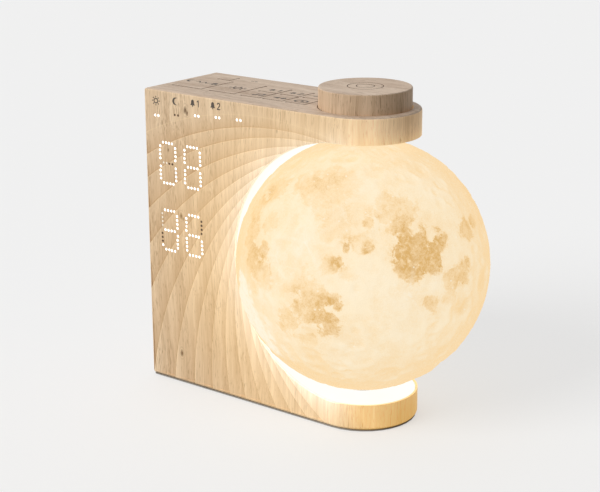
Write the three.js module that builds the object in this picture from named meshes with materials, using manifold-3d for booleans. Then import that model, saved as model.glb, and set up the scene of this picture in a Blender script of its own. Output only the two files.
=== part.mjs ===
// Sunrise alarm clock: a C-shaped oak-finish housing that holds a glowing moon between a lower
// and an upper arm, with a dot-matrix time display, flexure keys and a pressable rotary knob.
// Frame: millimetres, +Z up, +X towards the round end of the arms, front face towards -Y.
// The origin is on the floor, on the axis of the knob and of the arms' round ends.

import * as THREE from 'three';
import { mergeVertices } from 'three/addons/utils/BufferGeometryUtils.js';
import Module from 'manifold-3d';

const wasm = await Module();
wasm.setup();

// Driving dimensions
const moonRadius = 72.25;
const mouthClearance = 2.25;      // from the moon to the opening's wall, above and below
const armThickness = 15.1;        // upper arm
const baseThickness = 15.9;       // lower arm, foot pad included
const bodyDepth = 62.7;
const panelWidth = 69.5;          // from the flat left end to the opening
const openingShift = 5.3;         // axis of the opening's round end, beyond the knob axis
const wall = 2.4;                 // housing and rear cover
const rimWall = 1.2;              // wood edge left visible beside the diffuser
const edgeRound = 1.6;            // rounding of the top and bottom edges
const cornerRound = 2.2;          // rounding of the upright corners at the left end
const shoulderRound = 4;          // upper left corner seen from the front
const seat = 0.3;                 // gap between pieces that rest on each other
const slack = 0.05;               // radial running clearance
const over = 1;                   // how far a cut runs past a face

// Facets
const endSteps = 16;              // half-round ends of the arms
const cornerSteps = 3;
const openingSteps = 28;
const ringSteps = 14;
const discSides = 36;             // counterbore and knob
const moonAcross = 36;
const moonDown = 20;
const smallSides = 8;             // slit ends, posts and pilot holes
const postSides = 12;             // screw posts and stems
const ringSides = 24;             // collar, magnet, coin cell and other small round pieces

// Moon
const moonShift = -1.1;           // moon axis from the knob axis
const moonLift = 1.85;            // lowest point of the moon above the lower arm
const moonWall = 2;
const moonNeckRadius = 8.8;

// Foot pad
const padThickness = 0.7;
const padInset = 0.8;

// Ring diffuser, its light frame and the LED strip behind it
const diffuserWall = 2;
const moonClearance = 1.5;        // hollow of the diffuser round the moon
const frameGapShare = 0.1655;     // diffuser to the light frame, as a share of the panel's width
const frameWall = 2;
const frameSweepDeg = 110;        // centred on the left
const stripWidth = 10;
const stripThickness = 1.2;
const ringLedCount = 11;
const ringLedSize = 3;
const ringLedHeight = 1.1;
const stripMarginDeg = 4;

// Blades carved in the front face: equal discs whose rims sweep in to the opening
const bladeCount = 17;
const bladeRadius = 204;
const bladeCrossing = 3.5;        // rims come this far inside the opening's edge
const firstBladeDeg = 245.7;      // direction of the first disc's centre from the opening's axis
const closeBlades = 2;            // steps between the first blades, which stand closer together
const closeTurnDeg = 6.9;
const bladeTurnDeg = 9.1;
const bladeTurnGrowthDeg = 0.1;   // each later step is this much wider than the one before
const bladeSlope = 0.035;         // fall of a blade per millimetre from its rim
const bladeDepth = 0.8;           // deepest valley
const bladeMargin = 1.8;          // uncarved border at the left and bottom edges
const bladeLand = 0.6;            // first blade's flat edge
const bladeSides = 60;

// Time display: two rows of two seven-segment digits, drilled as dots
const dotRadius = 0.6;
const dotSides = 4;
const dotPitch = 2.45;
const dotsPerBar = 4;
const digitRows = 2;
const digitsPerRow = 2;
const digitHalfWidth = 6.05;
const digitsPlaceShare = 0.2604;  // first digit's middle across the panel's width
const digitSpacingShare = 0.2791; // of the panel's width
const digitsFromTop = 43.7;
const digitRowSpacing = 41.2;
const indicatorCount = 5;
const indicatorsPlaceShare = 0.1496;
const indicatorPitchShare = 0.2273;
const indicatorDotGap = 2.6;
const indicatorDrop = 10.7;       // top face down to the crest of the indicators' arc
const indicatorCrestShare = 1.1712; // left end to that crest, of the panel's width
const indicatorArcRadius = 498;

// Light masks and the display board behind the dots
const maskThickness = 3;
const maskMargin = 3;
const lightWell = 1.8;            // width of a light well
const boardThickness = 1.2;
const displayLedHeight = 0.8;
const displayLedSize = 1.4;
const displayPostRadius = 2.6;
const displayPostDrop = 14;       // post in the indicator row, below the top face
const displayPostShare = 0.9396;  // the same post, from the left end, of the panel's width

// Keys: flaps cut free on their front and right sides, which flex about their diagonal
const keySlit = 0.5;
const slitEndRadius = 0.8;
const smallKeysPerRow = 3;

// Widths and gaps as shares of the keys' row, which runs from the counterbore to the left end
const keyKnobGapShare = 0.0259;   // counterbore to the nearest slit
const smallKeyWidthShare = 0.1186;
const smallKeyPitchShare = 0.1463;
const midKeyGapShare = 0.0517;
const midKeyWidthShare = 0.1597;
const wideKeyGapShare = 0.0624;
const wideKeyWidthShare = 0.1998;
const cornerKeyInsetShare = 0.0401; // wide key's right slit to the corner key's slit
const cornerKeyWidthShare = 0.0803;

// Depths and places as shares of the body's depth
const keyRowFrontShare = 0.2408;  // front face to the first row's slit
const smallKeyDepthShare = 0.2265;
const rearRowDepthShare = 0.2073;
const rearRowGapShare = 0.0271;
const midKeyDepthShare = 0.4609;
const wideKeyDepthShare = 0.4434;
const cornerKeyFrontShare = 0.7273; // small key in the far left corner
const cornerKeyDepthShare = 0.1324;

const keyPostRadius = 1.1;
const keyPostShare = 0.5;         // post's place between the diagonal and the free corner

// Key board with its dome switches
const keyBoardGap = 5.4;          // underside of the top wall to the board
const keyBoardFrontShare = 0.2233; // front face to the board's edges, of the body's depth
const keyBoardBackShare = 0.7815;
const keyBossShare = 0.4944;      // front face to the bosses
const keyBoardMargin = 6;
const domeSide = 4.4;
const domeHeight = 1.6;
const domeButtonRadius = 1.4;
const domeButtonHeight = 0.9;
const keyTravelGap = 0.5;         // key post to dome button at rest
const keyBossRadius = 2.2;

// Knob and rotary encoder
const knobRadius = 26;
const knobStand = 11.4;           // above the top face
const knobGap = 0.6;              // to the counterbore's wall
const counterboreDepth = 2;
const knobLift = 1.5;             // knob's underside above the counterbore floor
const knobSkirt = 2.4;
const knobRoof = 3;
const knobEdge = 0.8;
const knobHubRadius = 5.8;
const hubClearance = 0.1;         // hub to the bushing when the knob is pressed
const knobRingRadius = 5;
const knobRingPitch = 4.9;
const knobRingWidth = 0.5;
const knobRingDepth = 0.35;
const shaftRadius = 3;
const shaftGrip = 6;              // length of the shaft in the hub
const flatDepth = 0.8;            // flat on the shaft's upper end
const bushingWall = 0.8;
const bushingStand = 3;           // above the counterbore floor
const caseSide = 12;
const caseHeightShare = 0.3311;   // of the upper arm's thickness
const caseFloor = 0.9;
const plungerRadius = 4;
const plungerHeight = 0.6;
const knobTravel = 0.8;
const nutAcross = 11;
const nutHeight = 2;
const encoderBoardWidth = 24;
const encoderBoardDepth = 20;

// Moon stand
const footRadius = 13;
const footHeight = 5;
const stemRadius = 7.5;
const stemBore = 4.5;
const shoulderRadius = 10.3;
const spigotReach = 4.6;          // spigot above the shoulder
const moonBoardRadius = 8.2;
const moonLedHeight = 1.2;
const moonLedSide = 3.4;
const moonLedCount = 4;
const moonLedRing = 4.6;
const leadSlot = 3.6;

// Rear cover
const coverEnd = 6;               // cover's right ends, left of the knob axis
const coverBossRadius = 4.2;
const coverBossLength = 8;
const bossSink = 0.4;             // how far a boss merges with the wall beside it
const sideBossShare = 0.8333;     // of the top's height
const topBossAlong = 75;
const bottomBossAlong = 70;
const armBossAlong = 13;
const grilleHoleRadius = 1.5;
const grillePitch = 5.4;
const grilleRings = 2;
const grilleSides = 6;

// Speaker
const speakerRadiusShare = 0.2878; // of the panel's width
const speakerPlaceShare = 0.4705; // from the left end, of the panel's width
const speakerRise = 18;           // main board to the speaker's rim
const speakerFlange = 1.2;
const speakerRimWidth = 3;
const speakerDepth = 8;
const speakerSheet = 1;
const speakerThroat = 5;
const speakerSeatRadius = 10.4;   // flat back of the frame, on which the magnet sits
const magnetRadius = 9;
const magnetHeight = 6;
const coneDepth = 4.6;
const coneThroat = 4;
const coneSheet = 0.7;
const coneDrop = 0.4;
const ribWall = 1.6;

// Main board and what it carries
const mainBoardPlaceShare = 0.082; // from the left end, of the panel's width
const mainBoardWidthShare = 0.6763;
const mainBoardBottom = 14;
const mainBoardHeight = 60;
const mainBoardGap = 5;           // to the rear cover
const mainPostRadius = 2.6;
const mainPostInset = 4.5;
const inletWidth = 9.2;
const inletHeight = 3.4;
const inletShell = 0.4;
const inletBack = 0.8;            // closed end of its shell
const inletPlaceShare = 0.4705;
const inletRise = 12;             // board's lower edge to the inlet
const cellRadius = 10;
const cellThickness = 3.2;
const cellPlaceShare = 0.5036;
const cellRise = 28;              // board's lower edge to the cell's middle
const holderWall = 1.4;
const holderFloor = 1;

// Screws
const screwRadius = 1.1;
const screwHeadRadius = 2.2;
const screwHeadHeight = 1.3;

// Cables inside
const ribbonThickness = 0.3;
const ribbonWidth = 6;
const leadRadius = 1.2;
const speakerLeadRadius = 0.7;
const leadSides = 6;
const leadSteps = 26;
const mitreShare = 0.3;           // least spread of a folded ribbon's corner

// Derived sizes
const openingRadius = moonRadius + mouthClearance;
const openingZ = baseThickness + openingRadius;
const top = openingZ + openingRadius + armThickness;
const ceiling = top - wall;
const half = bodyDepth / 2;
const leftEnd = openingShift - openingRadius - panelWidth;
const moonZ = baseThickness + moonLift + moonRadius;
const underside = padThickness + seat;
const frameRadius = openingRadius + diffuserWall + frameGapShare * panelWidth;
const floor = underside + wall;
const inside = half - wall;                 // inner face of the front wall and of the rear cover
const counterboreRadius = knobRadius + knobGap;
const knobFloor = top - counterboreDepth;
const bossUnder = knobFloor - wall;
const bladeRingRadius = bladeRadius - openingRadius + bladeCrossing;
const boardBack = -inside + maskThickness + 2 * seat + boardThickness;
const full = 2 * (top + bodyDepth + panelWidth);

// Materials
const finish = (color, roughness, metalness = 0, more = {}) =>
  new THREE.MeshStandardMaterial({ color, roughness, metalness, ...more });
const oak = finish(0xcfae86, 0.62);
const oakTop = finish(0xc3a586, 0.64);
const moonGlow = finish(0xf2d9a6, 0.7, 0, { emissive: 0xf0cf92, emissiveIntensity: 0.6 });
const diffuserWhite = finish(0xfff6e2, 0.5, 0, { emissive: 0xfff0d0, emissiveIntensity: 0.8 });
const whitePlastic = finish(0xeeece6, 0.5);
const blackPlastic = finish(0x1c1c1e, 0.55);
const darkRubber = finish(0x4a4744, 0.85);
const boardGreen = finish(0x1f5a3c, 0.5);
const steel = finish(0xb4b6b8, 0.35, 1);
const magnetSteel = finish(0x6d7074, 0.4, 1);
const brassGold = finish(0xb8954c, 0.35, 1);
const conePaper = finish(0x2b2a29, 0.85);
const ribbonWhite = finish(0xd9d8d2, 0.6);

// A closed three.js geometry as a solid that can be joined and cut
function solidOf(geometry) {
  const bare = geometry.index ? geometry.toNonIndexed() : geometry.clone();
  bare.deleteAttribute('normal');
  bare.deleteAttribute('uv');
  const merged = mergeVertices(bare, 1e-5 * seat);
  const kept = [];
  const index = merged.index.array;
  for (let i = 0; i < index.length; i += 3) {
    const [a, b, c] = [index[i], index[i + 1], index[i + 2]];
    if (a !== b && b !== c && c !== a) kept.push(a, b, c);
  }
  return new wasm.Manifold(new wasm.Mesh({
    numProp: 3,
    vertProperties: merged.attributes.position.array,
    triVerts: Uint32Array.from(kept),
  }));
}

function geometryOf(solid) {
  const mesh = solid.getMesh();
  const geometry = new THREE.BufferGeometry();
  geometry.setAttribute('position', new THREE.BufferAttribute(mesh.vertProperties, 3));
  geometry.setIndex(new THREE.BufferAttribute(mesh.triVerts, 1));
  geometry.computeVertexNormals();
  return geometry;
}

const join = (first, ...rest) => rest.reduce((sum, solid) => sum.add(solid), first);
const cut = (first, ...rest) => rest.reduce((left, solid) => left.subtract(solid), first);

// Solid shapes
function box(x0, x1, y0, y1, z0, z1) {
  const geometry = new THREE.BoxGeometry(x1 - x0, y1 - y0, z1 - z0);
  geometry.translate((x0 + x1) / 2, (y0 + y1) / 2, (z0 + z1) / 2);
  return solidOf(geometry);
}

function rod(radius, x, y, z0, z1, sides = discSides / 2) {
  const geometry = new THREE.CylinderGeometry(radius, radius, z1 - z0, sides);
  geometry.rotateX(Math.PI / 2);
  geometry.translate(x, y, (z0 + z1) / 2);
  return solidOf(geometry);
}

function rodY(radius, x, z, y0, y1, sides = postSides) {
  const geometry = new THREE.CylinderGeometry(radius, radius, y1 - y0, sides);
  geometry.translate(x, (y0 + y1) / 2, z);
  return solidOf(geometry);
}

function extrudeZ(shape, z0, z1, round = 0) {
  const geometry = new THREE.ExtrudeGeometry(shape, {
    depth: z1 - z0 - 2 * round,
    bevelEnabled: round > 0,
    bevelSize: round,
    bevelThickness: round,
    bevelOffset: -round,
    bevelSegments: 2,
  });
  geometry.translate(0, 0, z0 + round);
  return solidOf(geometry);
}

// A shape drawn in X and Z, extruded along Y
function extrudeY(shape, y0, y1) {
  const geometry = new THREE.ExtrudeGeometry(shape, { depth: y1 - y0, bevelEnabled: false });
  geometry.rotateX(Math.PI / 2);
  geometry.translate(0, y1, 0);
  return solidOf(geometry);
}

// A profile of [radius, height] points turned about Z
function turned(profile, sides) {
  const points = profile.map(([r, z]) => new THREE.Vector2(r, z));
  const geometry = new THREE.LatheGeometry(points, sides);
  geometry.rotateX(Math.PI / 2);
  return solidOf(geometry);
}

// The same about Y, with heights counted along +Y
function turnedY(profile, sides) {
  const points = profile.map(([r, y]) => new THREE.Vector2(r, y));
  return solidOf(new THREE.LatheGeometry(points, sides));
}

function ball(radius, across, down, x, y, z) {
  const geometry = new THREE.SphereGeometry(radius, across, down);
  geometry.rotateX(Math.PI / 2);
  geometry.translate(x, y, z);
  return solidOf(geometry);
}

// Outlines
const polygon = (corners) => new THREE.Shape(corners.map(([u, v]) => new THREE.Vector2(u, v)));

// Points on an arc, both ends included
function arc(u, v, radius, fromDeg, toDeg, steps) {
  return Array.from({ length: steps + 1 }, (_, i) => {
    const turn = THREE.MathUtils.degToRad(fromDeg + ((toDeg - fromDeg) * i) / steps);
    return [u + radius * Math.cos(turn), v + radius * Math.sin(turn)];
  });
}

// Plan of the body, moved in by an inset: a rectangle with one half-round end
function planShape(inset) {
  const x = leftEnd + inset;
  const y = half - inset;
  const r = Math.max(cornerRound - inset, slack);
  return polygon([
    ...arc(0, 0, y, -90, 90, endSteps),
    ...arc(x + r, y - r, r, 90, 180, cornerSteps),
    ...arc(x + r, -y + r, r, 180, 270, cornerSteps),
  ]);
}

// Front view of the opening between the arms: half round, then straight to the right
function openingShape(radius) {
  return polygon([
    [full, openingZ - radius],
    [full, openingZ + radius],
    ...arc(openingShift, openingZ, radius, 90, 270, openingSteps),
  ]);
}

// Sector of a ring about the opening's axis, centred on the left
function ringShape(inner, outer, sweepDeg) {
  const from = 180 - sweepDeg / 2;
  const to = 180 + sweepDeg / 2;
  return polygon([
    ...arc(openingShift, openingZ, outer, from, to, ringSteps),
    ...arc(openingShift, openingZ, inner, to, from, ringSteps),
  ]);
}

const rectShape = (x0, x1, z0, z1) => polygon([[x0, z0], [x1, z0], [x1, z1], [x0, z1]]);

// A convex polygon with each side moved inwards by its own distance
function insetPolygon(corners, distances) {
  const lines = corners.map(([x0, y0], i) => {
    const [x1, y1] = corners[(i + 1) % corners.length];
    const length = Math.hypot(x1 - x0, y1 - y0);
    const [nx, ny] = [-(y1 - y0) / length, (x1 - x0) / length];
    return [nx, ny, nx * x0 + ny * y0 + distances[i]];
  });
  return lines.map(([a1, b1, c1], i) => {
    const [a0, b0, c0] = lines[(i + lines.length - 1) % lines.length];
    const det = a0 * b1 - a1 * b0;
    return [(c0 * b1 - c1 * b0) / det, (a0 * c1 - a1 * c0) / det];
  });
}

const openingCut = (radius) => extrudeY(openingShape(radius), -half - over, half + over);
const plan = (inset, z0, z1) => extrudeZ(planShape(inset), z0, z1);

// Keys, counted leftwards from the knob's counterbore
const keys = [];
const keyRow = -counterboreRadius - leftEnd;
const smallKeyWidth = smallKeyWidthShare * keyRow;
const smallKeyPitch = smallKeyPitchShare * keyRow;
const smallKeyDepth = smallKeyDepthShare * bodyDepth;
const rearRowDepth = rearRowDepthShare * bodyDepth;
const midKeyGap = midKeyGapShare * keyRow;
const midKeyWidth = midKeyWidthShare * keyRow;
const wideKeyGap = wideKeyGapShare * keyRow;
const wideKeyWidth = wideKeyWidthShare * keyRow;
const frontSlit = -half + keyRowFrontShare * bodyDepth;
const rearSlit = frontSlit + smallKeyDepth + rearRowGapShare * bodyDepth;
const smallKeysRight = -counterboreRadius - keyKnobGapShare * keyRow;
for (let column = 0; column < smallKeysPerRow; column += 1) {
  const right = smallKeysRight - (smallKeysPerRow - 1 - column) * smallKeyPitch;
  keys.push({ right, width: smallKeyWidth, front: frontSlit, depth: smallKeyDepth });
  keys.push({ right, width: smallKeyWidth, front: rearSlit, depth: rearRowDepth });
}
const smallKeysLeft = smallKeysRight - (smallKeysPerRow - 1) * smallKeyPitch - smallKeyWidth;
const midKeyRight = smallKeysLeft - midKeyGap;
const wideKeyRight = midKeyRight - midKeyWidth - wideKeyGap;
keys.push({
  right: midKeyRight, width: midKeyWidth, front: frontSlit, depth: midKeyDepthShare * bodyDepth,
});
keys.push({
  right: wideKeyRight, width: wideKeyWidth, front: frontSlit, depth: wideKeyDepthShare * bodyDepth,
});
keys.push({
  right: wideKeyRight - cornerKeyInsetShare * keyRow,
  width: cornerKeyWidthShare * keyRow,
  front: -half + cornerKeyFrontShare * bodyDepth,
  depth: cornerKeyDepthShare * bodyDepth,
});

// Corners of a key's free triangle: slit's left end, free corner, slit's rear end
function keyCorners(key) {
  const left = key.right - key.width;
  return [[left, key.front], [key.right, key.front], [key.right, key.front + key.depth]];
}

function keyPost(key) {
  const [a, b, c] = keyCorners(key);
  const middle = [(a[0] + c[0]) / 2, (a[1] + c[1]) / 2];
  return [0, 1].map((i) => middle[i] + (b[i] - middle[i]) * keyPostShare);
}

const slitEnds = (key) => {
  const [a, , c] = keyCorners(key);
  return [a, c];
};

// Display dots, seen from the front
function digitDots(centreX, centreZ) {
  const dots = [];
  for (let i = 0; i < dotsPerBar; i += 1) {
    const along = (i - (dotsPerBar - 1) / 2) * dotPitch;
    const up = (i + 1) * dotPitch;
    for (const level of [-(dotsPerBar + 1), 0, dotsPerBar + 1]) {
      dots.push([centreX + along, centreZ + level * dotPitch]);
    }
    for (const side of [-digitHalfWidth, digitHalfWidth]) {
      dots.push([centreX + side, centreZ + up], [centreX + side, centreZ - up]);
    }
  }
  return dots;
}

const digitHalfHeight = (dotsPerBar + 1) * dotPitch;
const digitsX = leftEnd + digitsPlaceShare * panelWidth;
const digitSpacing = digitSpacingShare * panelWidth;
const digitCentres = [];
for (let row = 0; row < digitRows; row += 1) {
  for (let column = 0; column < digitsPerRow; column += 1) {
    digitCentres.push([
      digitsX + column * digitSpacing,
      top - digitsFromTop - row * digitRowSpacing,
    ]);
  }
}

const indicatorCrest = indicatorCrestShare * panelWidth;
const indicatorCentres = [];
for (let i = 0; i < indicatorCount; i += 1) {
  const along = (indicatorsPlaceShare + i * indicatorPitchShare) * panelWidth;
  const fall = indicatorArcRadius - Math.sqrt(indicatorArcRadius ** 2 - (along - indicatorCrest) ** 2);
  indicatorCentres.push([leftEnd + along, top - indicatorDrop - fall]);
}

const allDots = [
  ...digitCentres.flatMap(([x, z]) => digitDots(x, z)),
  ...indicatorCentres.flatMap(([x, z]) => [
    [x - indicatorDotGap / 2, z],
    [x + indicatorDotGap / 2, z],
  ]),
];

// Extents of the two light masks
const digitsLeft = digitCentres[0][0] - digitHalfWidth - maskMargin;
const digitsRight = digitCentres[1][0] + digitHalfWidth + maskMargin;
const digitsTop = digitCentres[0][1] + digitHalfHeight + maskMargin;
const digitsBottom = digitCentres[2][1] - digitHalfHeight - maskMargin;
const lampsLeft = indicatorCentres[0][0] - indicatorDotGap / 2 - maskMargin;
const lampsRight = indicatorCentres[indicatorCount - 1][0] + indicatorDotGap / 2 + maskMargin;
const lampsTop = top - indicatorDrop + maskMargin;
const lampsBottom = indicatorCentres[0][1] - maskMargin;
const displayPosts = [
  [(digitCentres[0][0] + digitCentres[1][0]) / 2, (digitCentres[0][1] + digitCentres[2][1]) / 2],
  [leftEnd + displayPostShare * panelWidth, top - displayPostDrop],
];

// Screw places of the rear cover, in X and Z
const sideBossX = leftEnd + wall + coverBossRadius - bossSink;
const lowBossZ = floor + coverBossRadius - bossSink;
const coverScrews = [
  [sideBossX, sideBossShare * top],
  [sideBossX, lowBossZ],
  [-topBossAlong, ceiling - coverBossRadius + bossSink],
  [-armBossAlong, ceiling - coverBossRadius + bossSink],
  [-bottomBossAlong, lowBossZ],
  [-armBossAlong, lowBossZ],
];

// Main board, and the places of its two posts on the rear cover
const mainBoardX = leftEnd + mainBoardPlaceShare * panelWidth;
const mainBoardWidth = mainBoardWidthShare * panelWidth;
const mainBoardY = inside - mainBoardGap;             // its rear face
const mainBoardTop = mainBoardBottom + mainBoardHeight;
const mainPosts = [
  [mainBoardX + mainPostInset, mainBoardTop - mainPostInset],
  [mainBoardX + mainBoardWidth - mainPostInset, mainBoardBottom + mainPostInset],
];
const inletX = leftEnd + inletPlaceShare * panelWidth;
const inletBottom = mainBoardBottom + inletRise;
const speakerRadius = speakerRadiusShare * panelWidth;
const speakerX = leftEnd + speakerPlaceShare * panelWidth;
const speakerHeight = mainBoardTop + speakerRise + speakerRadius;

// Key board
const keyBoardTop = ceiling - keyBoardGap;
const keyBoardBottom = keyBoardTop - boardThickness;
const keyBoardLeft = wideKeyRight - wideKeyWidth - keyBoardMargin;
const keyBoardRight = smallKeysRight - keyPostRadius;
const keyBossY = -half + keyBossShare * bodyDepth;
const keyBosses = [
  [wideKeyRight + wideKeyGap / 2, keyBossY],
  [midKeyRight + midKeyGap / 2, keyBossY],
];
const keyPostEnd = keyBoardTop + domeHeight + domeButtonHeight + keyTravelGap;

// Screw shanks, each short of the end of its hole
const coverScrewLength = wall + coverBossLength - over - screwHeadHeight - 3 * seat;
const boardScrewLength = mainBoardGap + boardThickness;
const keyScrewLength = keyBoardGap + boardThickness - seat;
const collarScrewLength = wall + footHeight - screwHeadHeight - seat;

// Housing pieces

// Direction of a blade's centre from the opening's axis, in degrees
function bladeDirection(index) {
  const close = Math.min(index, closeBlades);
  const wide = Math.max(index - closeBlades, 0);
  const growth = bladeTurnGrowthDeg * wide * (wide - 1) / 2;
  return firstBladeDeg + close * closeTurnDeg + wide * bladeTurnDeg + growth;
}

function bladeCentre(index) {
  const turn = THREE.MathUtils.degToRad(bladeDirection(index));
  return [openingShift + bladeRingRadius * Math.cos(turn), openingZ + bladeRingRadius * Math.sin(turn)];
}

// Everything the blades leave proud of the deepest valley. Each disc keeps the half whose rim
// sweeps in to the opening
function bladeDiscs() {
  const valley = bladeDepth / bladeSlope;
  const back = -half + bladeDepth + over;
  const profile = [
    [0, back],
    [bladeRadius, back],
    [bladeRadius, -half],
    [bladeRadius - valley, -half + bladeDepth],
    [0, -half + bladeDepth],
  ];
  const reach = bladeRadius + over;
  const disc = turnedY(profile.reverse(), bladeSides)
    .intersect(box(-reach, reach, -half - over, half, -reach, 0));
  const discs = [];
  for (let i = 0; i < bladeCount; i += 1) {
    const [x, z] = bladeCentre(i);
    discs.push(disc.rotate([0, -bladeDirection(i), 0]).translate([x, 0, z]));
  }
  return discs;
}

// What is carved away between the blades: inside the first disc, short of the edges, and left
// of the plain base that lies inside the last disc
function bladeCut() {
  const discs = bladeDiscs();
  const field = box(
    leftEnd + bladeMargin, 0, -half - over, -half + bladeDepth, underside + bladeMargin, top - bladeMargin,
  );
  const firstRim = rodY(
    bladeRadius - bladeLand, ...bladeCentre(0), -half - 2 * over, half, bladeSides,
  );
  const plainBase = rodY(bladeRadius, ...bladeCentre(bladeCount - 1), -half - 2 * over, half, bladeSides)
    .intersect(box(leftEnd, half, -half - 2 * over, half, 0, openingZ - openingRadius / 2));
  return cut(field.intersect(firstRim), plainBase, ...discs);
}

function coverShape(inset) {
  return rectShape(
    leftEnd + wall + inset, -coverEnd - inset, floor + inset, ceiling - inset,
  );
}

// Seat of the diffuser, cut in the housing and in the rear cover
const diffuserSeat = () => plan(rimWall, 0, top).intersect(join(
  openingCut(openingRadius + diffuserWall + seat),
  ball(moonRadius + moonClearance + diffuserWall + seat, moonAcross, moonDown, moonShift, 0, moonZ),
));

function keyPocket(key) {
  const triangle = extrudeZ(polygon(keyCorners(key)), ceiling - over, top + over);
  return join(triangle, ...slitEnds(key).map(([x, y]) => (
    rod(slitEndRadius, x, y, ceiling - over, top + over, smallSides)
  )));
}

function housing() {
  const sideView = polygon([
    [leftEnd, 0],
    [full, 0],
    [full, top],
    ...arc(leftEnd + shoulderRound, top - shoulderRound, shoulderRound, 90, 180, 2 * cornerSteps),
  ]);
  const outer = extrudeZ(planShape(0), underside, top, edgeRound)
    .intersect(extrudeY(sideView, -half - over, half + over));
  const knobBoss = plan(wall, bossUnder, top - edgeRound)
    .intersect(rod(counterboreRadius + wall, 0, 0, bossUnder, top, discSides));
  const hollow = plan(wall, floor, ceiling).subtract(knobBoss);
  const rearCut = extrudeY(coverShape(0), inside - over, half + over);
  const shell = cut(outer, openingCut(openingRadius), hollow, rearCut, diffuserSeat());

  const inner = plan(rimWall, underside, top);
  const displayStands = displayPosts.map(([x, z]) => (
    rodY(displayPostRadius, x, z, -inside - rimWall / 2, boardBack - boardThickness - seat)
  ));
  const keyStands = keyBosses.map(([x, y]) => (
    rod(keyBossRadius, x, y, keyBoardTop + seat, ceiling + rimWall / 2, postSides)
  ));
  const coverStands = coverScrews.map(([x, z]) => (
    rodY(coverBossRadius, x, z, inside - seat - coverBossLength, inside - seat, postSides).intersect(inner)
  ));
  const body = join(shell, ...displayStands, ...keyStands, ...coverStands);

  const pilot = screwRadius + seat;
  const displayPilots = displayPosts.map(([x, z]) => (
    rodY(pilot, x, z, -inside + seat, boardBack, smallSides)
  ));
  const keyPilots = keyBosses.map(([x, y]) => (
    rod(pilot, x, y, keyBoardTop, ceiling - seat, smallSides)
  ));
  const coverPilots = coverScrews.map(([x, z]) => (
    rodY(pilot, x, z, inside - coverBossLength + over, half, smallSides)
  ));
  const dotHoles = allDots.map(([x, z]) => (
    rodY(dotRadius, x, z, -half - over, -inside + over, dotSides)
  ));
  const collarScrewHoles = collarScrewX().map((x) => join(
    rod(pilot, x, 0, underside - over, floor + over, smallSides),
    rod(screwHeadRadius + seat, x, 0, underside - over, underside + screwHeadHeight, postSides),
  ));
  return cut(
    body,
    bladeCut(),
    rod(counterboreRadius, 0, 0, knobFloor, top + over, discSides),
    rod(shaftRadius + slack + bushingWall + seat, 0, 0, bossUnder - over, top, ringSides),
    ...keys.map(keyPocket),
    ...displayPilots,
    ...keyPilots,
    ...coverPilots,
    ...collarScrewHoles,
    wasm.Manifold.union(dotHoles),
  );
}

function rearCover() {
  const plate = extrudeY(coverShape(seat), inside, half);
  const posts = mainPosts.map(([x, z]) => rodY(mainPostRadius, x, z, mainBoardY + seat, inside + rimWall));
  const ribOuter = speakerRadius + seat + ribWall;
  const rib = rodY(ribOuter, speakerX, speakerHeight, inside - speakerFlange - seat, inside + rimWall, ringSides)
    .subtract(rodY(speakerRadius + seat, speakerX, speakerHeight, 0, half, ringSides));
  const body = join(plate, rib, ...posts);
  const pilot = screwRadius + seat;
  const screwHoles = coverScrews.map(([x, z]) => join(
    rodY(pilot, x, z, inside - over, half + over, smallSides),
    rodY(screwHeadRadius + seat, x, z, half - screwHeadHeight - seat, half + over, postSides),
  ));
  const postPilots = mainPosts.map(([x, z]) => rodY(pilot, x, z, mainBoardY, inside, smallSides));
  const grille = [];
  for (let ring = 0; ring <= grilleRings; ring += 1) {
    const count = Math.max(1, 6 * ring);
    for (let i = 0; i < count; i += 1) {
      const turn = (i / count) * 2 * Math.PI;
      grille.push(rodY(
        grilleHoleRadius,
        speakerX + ring * grillePitch * Math.cos(turn),
        speakerHeight + ring * grillePitch * Math.sin(turn),
        inside - over,
        half + over,
        grilleSides,
      ));
    }
  }
  const inletHole = box(
    inletX - inletWidth / 2 - seat, inletX + inletWidth / 2 + seat,
    inside - over, half + over,
    inletBottom - seat, inletBottom + inletHeight + seat,
  );
  return cut(
    body,
    openingCut(openingRadius),
    diffuserSeat(),
    inletHole,
    ...screwHoles,
    ...postPilots,
    wasm.Manifold.union(grille),
  );
}

function ringDiffuser() {
  const skin = join(
    openingCut(openingRadius + diffuserWall),
    ball(moonRadius + moonClearance + diffuserWall, moonAcross, moonDown, moonShift, 0, moonZ),
  );
  const hollow = join(
    openingCut(openingRadius),
    ball(moonRadius + moonClearance, moonAcross, moonDown, moonShift, 0, moonZ),
  );
  return skin.subtract(hollow)
    .intersect(plan(rimWall + seat, floor, top))
    .subtract(rod(stemRadius + seat, moonShift, 0, 0, openingZ, ringSides))
    .subtract(rod(shoulderRadius + seat, moonShift, 0, baseThickness, openingZ, ringSides));
}

function lightFrame() {
  return extrudeY(
    ringShape(frameRadius, frameRadius + frameWall, frameSweepDeg), -inside + seat, inside - seat,
  );
}

function ledStrip() {
  const outer = frameRadius - seat;
  const inner = outer - stripThickness;
  const sweepDeg = frameSweepDeg - 2 * stripMarginDeg;
  const strip = extrudeY(ringShape(inner, outer, sweepDeg), -stripWidth / 2, stripWidth / 2);
  const chips = [];
  for (let i = 0; i < ringLedCount; i += 1) {
    const turn = ((i + 0.5) / ringLedCount - 0.5) * sweepDeg;
    const chip = new THREE.BoxGeometry(ringLedHeight + stripThickness / 2, ringLedSize, ringLedSize);
    chip.translate(-inner + (ringLedHeight - stripThickness / 2) / 2, 0, 0);
    chip.rotateY(THREE.MathUtils.degToRad(turn));
    chip.translate(openingShift, 0, openingZ);
    chips.push(solidOf(chip));
  }
  return join(strip, ...chips);
}

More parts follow.
